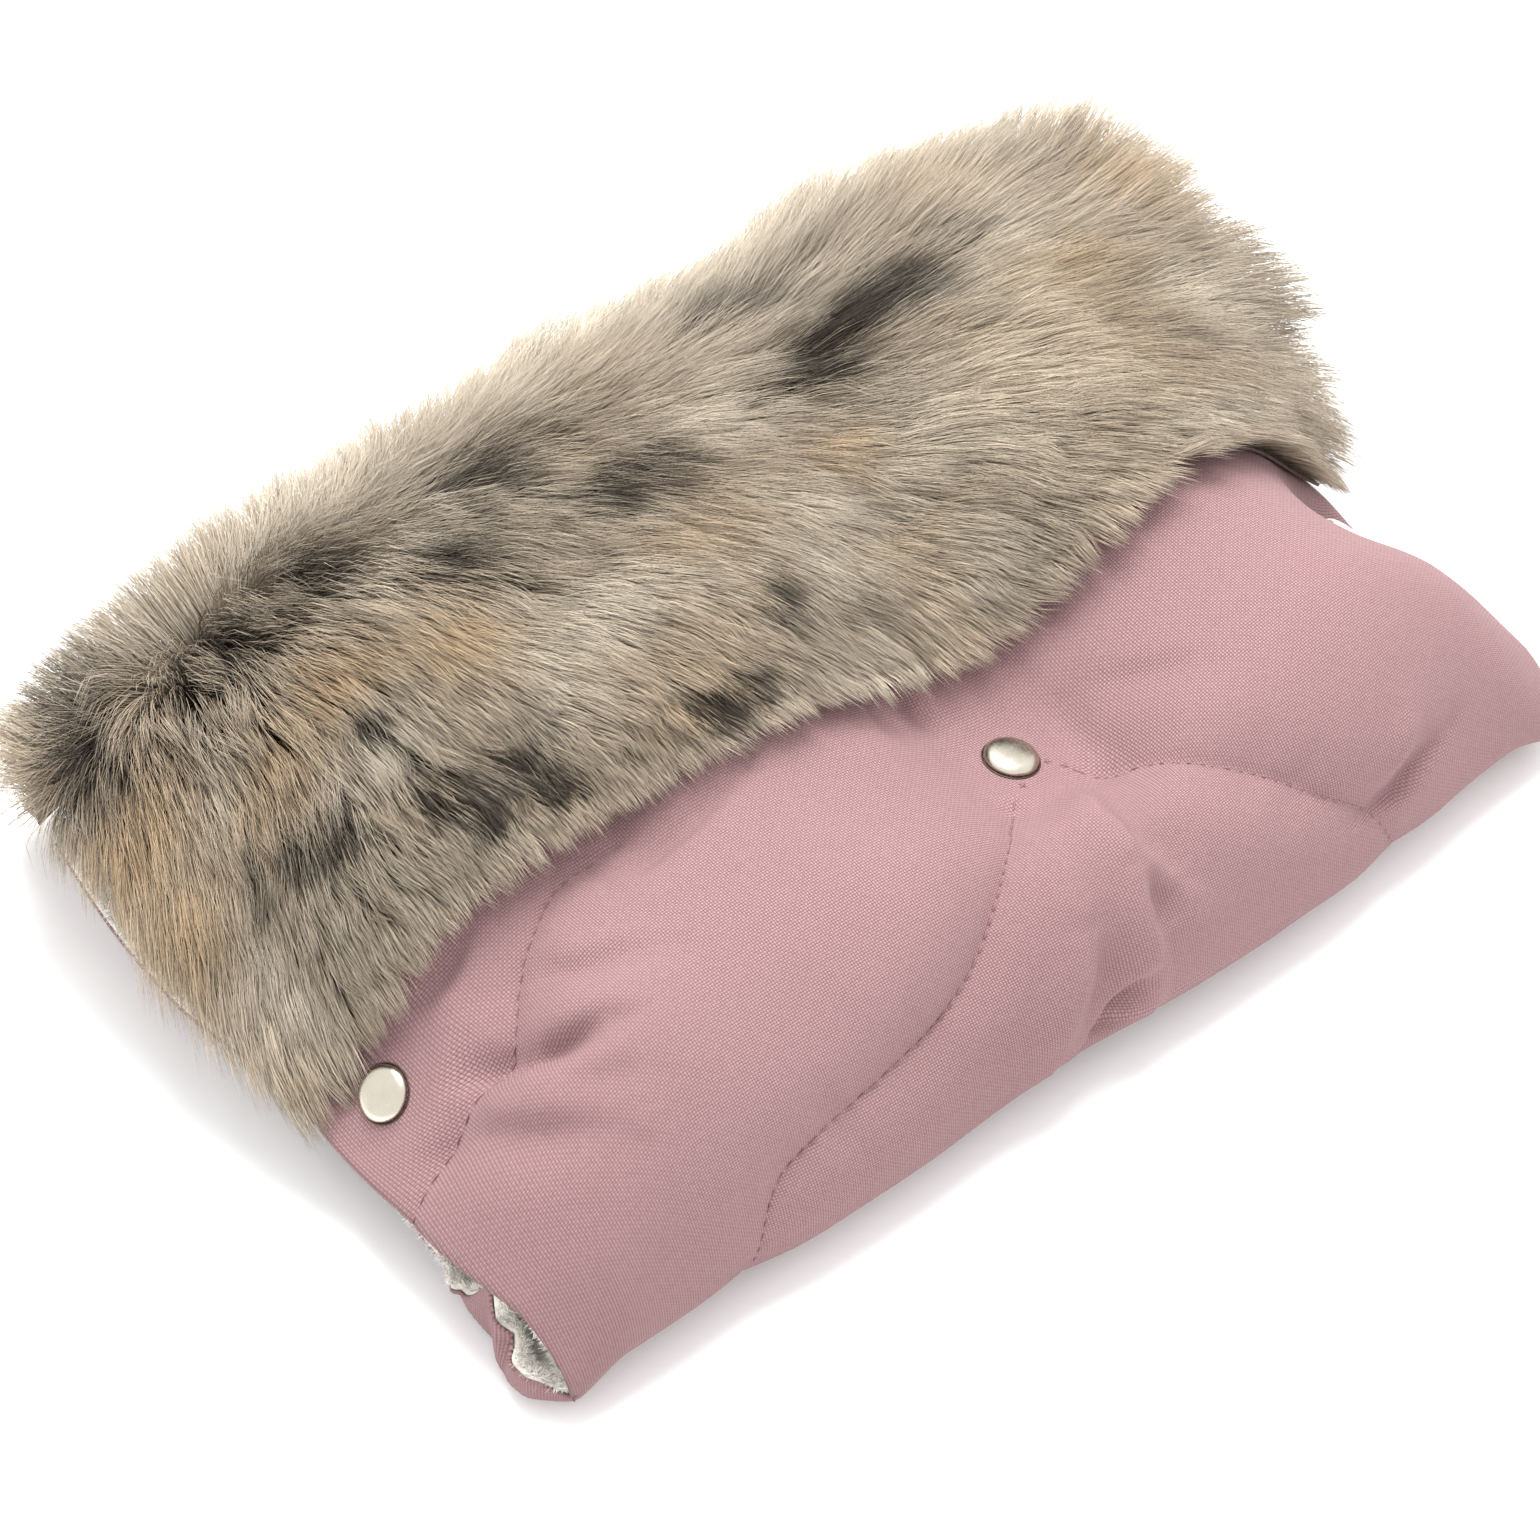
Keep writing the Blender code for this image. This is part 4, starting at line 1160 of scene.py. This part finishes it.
def weld(mesh):
    """Join the points of the rings that shrink to the axis, and turn the faces outwards."""
    form = bmesh.new()
    form.from_mesh(mesh)
    bmesh.ops.remove_doubles(form, verts=form.verts, dist=1e-6)
    bmesh.ops.recalc_face_normals(form, faces=form.faces)
    form.to_mesh(mesh)
    form.free()
    mesh.shade_smooth()


def stud_frame(name):
    point, facing = STUDS[name]
    turn = Vector((0, 0, 1)).rotation_difference(Vector(facing).normalized())
    x, d, z = point
    y = FOLD_Y + d + float(corner_recess(x, d))
    return Matrix.Translation((x + PLAN_SHIFT_X, y, z)) @ turn.to_matrix().to_4x4()


def dome(radius, rim, height, steps=10):
    """Profile of a shallow dome from its middle out to its rim."""
    shares = np.linspace(0.0, 1.0, steps)
    return [(radius * share, rim + (height - rim) * math.sqrt(1.0 - 0.999 * share ** 2.4))
            for share in shares]


def press_studs(surfaces):
    """Caps with a rolled rim, and the three hidden pieces of each stud with a better surface."""
    for name in STUDS:
        cap = revolve("cap_" + name, dome(*CAP_DOME) + CAP_RIM, stud_frame(name), surfaces["nickel"])
        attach(cap, UPPER)
        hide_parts("snap_cap_" + name)
        # A dark ring just outside each cap's rim, a painted shadow of the gap under the cap
        shade = revolve("cap_shadow_ring_" + name, CAP_SHADOW_RING, stud_frame(name), surfaces["rim"])
        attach(shade, UPPER)
        for part in ("socket", "stud", "post"):
            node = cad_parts[f"snap_{part}_{name}"]
            node.data.materials.clear()
            node.data.materials.append(surfaces["nickel"])
            node.data.shade_smooth()
            node.data.set_sharp_from_angle(angle=math.radians(SHARP_ANGLE))


STITCH = 0.0034
STITCH_GAP = 0.0009
THREAD_RADIUS = 0.00026
THREAD_SIDES = 6
# How far a thread stands off the canvas along one stitch
STITCH_LIFT = (-0.0003, 0.0001, 0.0002, 0.0001, -0.0003)
FRONT_SEAM_START = 0.010
END_SEAM_START = 0.003
STITCH_DROP = 0.004
CROSS_STITCH = 0.0030
PLACE_TURNS = 6
PLACE_STEP = 0.001
PROBE_STEP = 0.0004
PROBE_HEIGHT = 0.012
# Backstitches where the two front seams start, as (x, s) and turn
CROSS_STITCHES = ((0.0180, 0.0915, 20.0), (0.0300, 0.0955, 65.0), (0.0325, 0.0915, 30.0))


def stitches(canvas, surfaces):
    """Thread lying in the quilting seams, one short bowed length for each stitch."""
    tree = BVHTree.FromPolygons([v.co for v in canvas.data.vertices],
                                [f.vertices for f in canvas.data.polygons])
    curves = []
    for name, points in SEAMS.items():
        lengths = np.concatenate([[0.0], np.cumsum(np.hypot(*np.diff(points, axis=0).T))])
        start = FRONT_SEAM_START if name.startswith("front") else END_SEAM_START
        for place in np.arange(start, lengths[-1] - STITCH, STITCH + STITCH_GAP):
            along = place + np.linspace(0.0, STITCH, len(STITCH_LIFT))
            x, s = (np.interp(along, lengths, values) for values in points.T)
            curves.append(on_canvas(x, s, tree))
    for x, s, turn in CROSS_STITCHES:
        for angle in (turn, turn + 90.0):
            reach = np.linspace(-0.5, 0.5, len(STITCH_LIFT)) * CROSS_STITCH
            a = math.radians(angle)
            curves.append(on_canvas(x + reach * math.cos(a), s + reach * math.sin(a), tree))
    curves = np.array(curves)
    curves = curves[curves[:, 2, 2] > FOLD_Z - STITCH_DROP]
    share = np.linspace(0.0, 1.0, curves.shape[1])
    sizes = THREAD_RADIUS * np.sqrt(np.clip(1.0 - (2.0 * share - 1.0) ** 4, 0.06, 1.0))
    piece = ringed("quilting_stitches", curves, sizes, THREAD_SIDES)
    piece.data.materials.append(surfaces["thread"])
    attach(piece, UPPER)


def on_canvas(x, s, tree):
    """Points of one stitch on the canvas mesh, at places (x, s) on the upper panel."""
    t = np.full(x.shape, 0.5)
    for _ in range(PLACE_TURNS):
        here, _ = plan(t, s)
        ahead, _ = plan(t + PLACE_STEP, s)
        t = np.clip(t + PLACE_STEP * (x - here) / (ahead - here), 0.0, 1.0 - PLACE_STEP)
    step = PROBE_STEP * np.array([-1.0, 0.0, 1.0])
    found = []
    for a, b, lift in zip(t, s, STITCH_LIFT):
        form = canvas_form(*np.meshgrid(a + 3.0 * step, b + step, indexing="ij"))
        way = Vector(outward(form)[1, 1])
        hit = tree.ray_cast(Vector(form[1, 1]) + PROBE_HEIGHT * way, -way)[0]
        found.append(hit + way * lift)
    return np.array(found)


# Stage

FLOOR_SIZE = 4.0
WORLD_LIGHT = 1.50
KEY_PLACE = (0.28, 0.42, 1.50)
KEY_AIM = (0.0, 0.0, 0.05)
KEY_SIZE = 1.1
KEY_POWER = 42.0


def stage():
    mesh = bpy.data.meshes.new("floor")
    corners = [(FLOOR_SIZE * x, FLOOR_SIZE * y, 0) for x, y in ((-1, -1), (1, -1), (1, 1), (-1, 1))]
    mesh.from_pydata(corners, [], [(0, 1, 2, 3)])
    floor = bpy.data.objects.new("floor", mesh)
    bpy.context.scene.collection.objects.link(floor)
    paper = Shader("paper_floor", 0.9)
    paper.colour(opaque(FLOOR_WHITE))
    mesh.materials.append(paper.material)
    world = bpy.data.worlds.new("studio")
    bpy.context.scene.world = world
    world.use_nodes = True
    background = world.node_tree.nodes["Background"]
    background.inputs[0].default_value = (1.0, 1.0, 1.0, 1.0)
    background.inputs[1].default_value = WORLD_LIGHT
    key_light()
    bpy.context.scene.view_settings.view_transform = "Standard"


def key_light():
    data = bpy.data.lights.new("key", "AREA")
    data.shape = "DISK"
    data.size = KEY_SIZE
    data.energy = KEY_POWER
    lamp = bpy.data.objects.new("key", data)
    lamp.location = KEY_PLACE
    lamp.rotation_euler = (Vector(KEY_PLACE) - Vector(KEY_AIM)).to_track_quat("Z", "Y").to_euler()
    bpy.context.scene.collection.objects.link(lamp)


def camera():
    data = bpy.data.cameras.new("camera")
    data.lens = CAMERA_LENS
    data.clip_end = 20.0
    eye = bpy.data.objects.new("camera", data)
    a, e = math.radians(CAMERA_AZIMUTH), math.radians(CAMERA_ELEVATION)
    back = Vector((math.sin(a) * math.cos(e), -math.cos(a) * math.cos(e), math.sin(e)))
    eye.location = Vector(CAMERA_TARGET) + back * CAMERA_DISTANCE
    eye.rotation_euler = back.to_track_quat("Z", "Y").to_euler()
    bpy.context.scene.collection.objects.link(eye)
    bpy.context.scene.camera = eye


def main():
    surfaces = {
        "canvas": canvas_material(),
        "fleece": fleece_material(),
        "wadding": wadding_material(),
        "backing": backing_material(),
        "fur": fibre_material("fur_fibre"),
        "nap": fibre_material("fleece_nap"),
        "nickel": nickel_material("champagne_nickel", NICKEL, 0.26),
        # The rim surface is a painted shadow, for the dark ring under each cap
        "rim": nickel_material("cap_shadow_paint", CAP_SHADOW_COLOUR, 0.5),
        "thread": thread_material(),
    }
    camera()
    stage()
    canvas = quilt(surfaces)
    press_studs(surfaces)
    stitches(canvas, surfaces)
    fur(surfaces)


main()
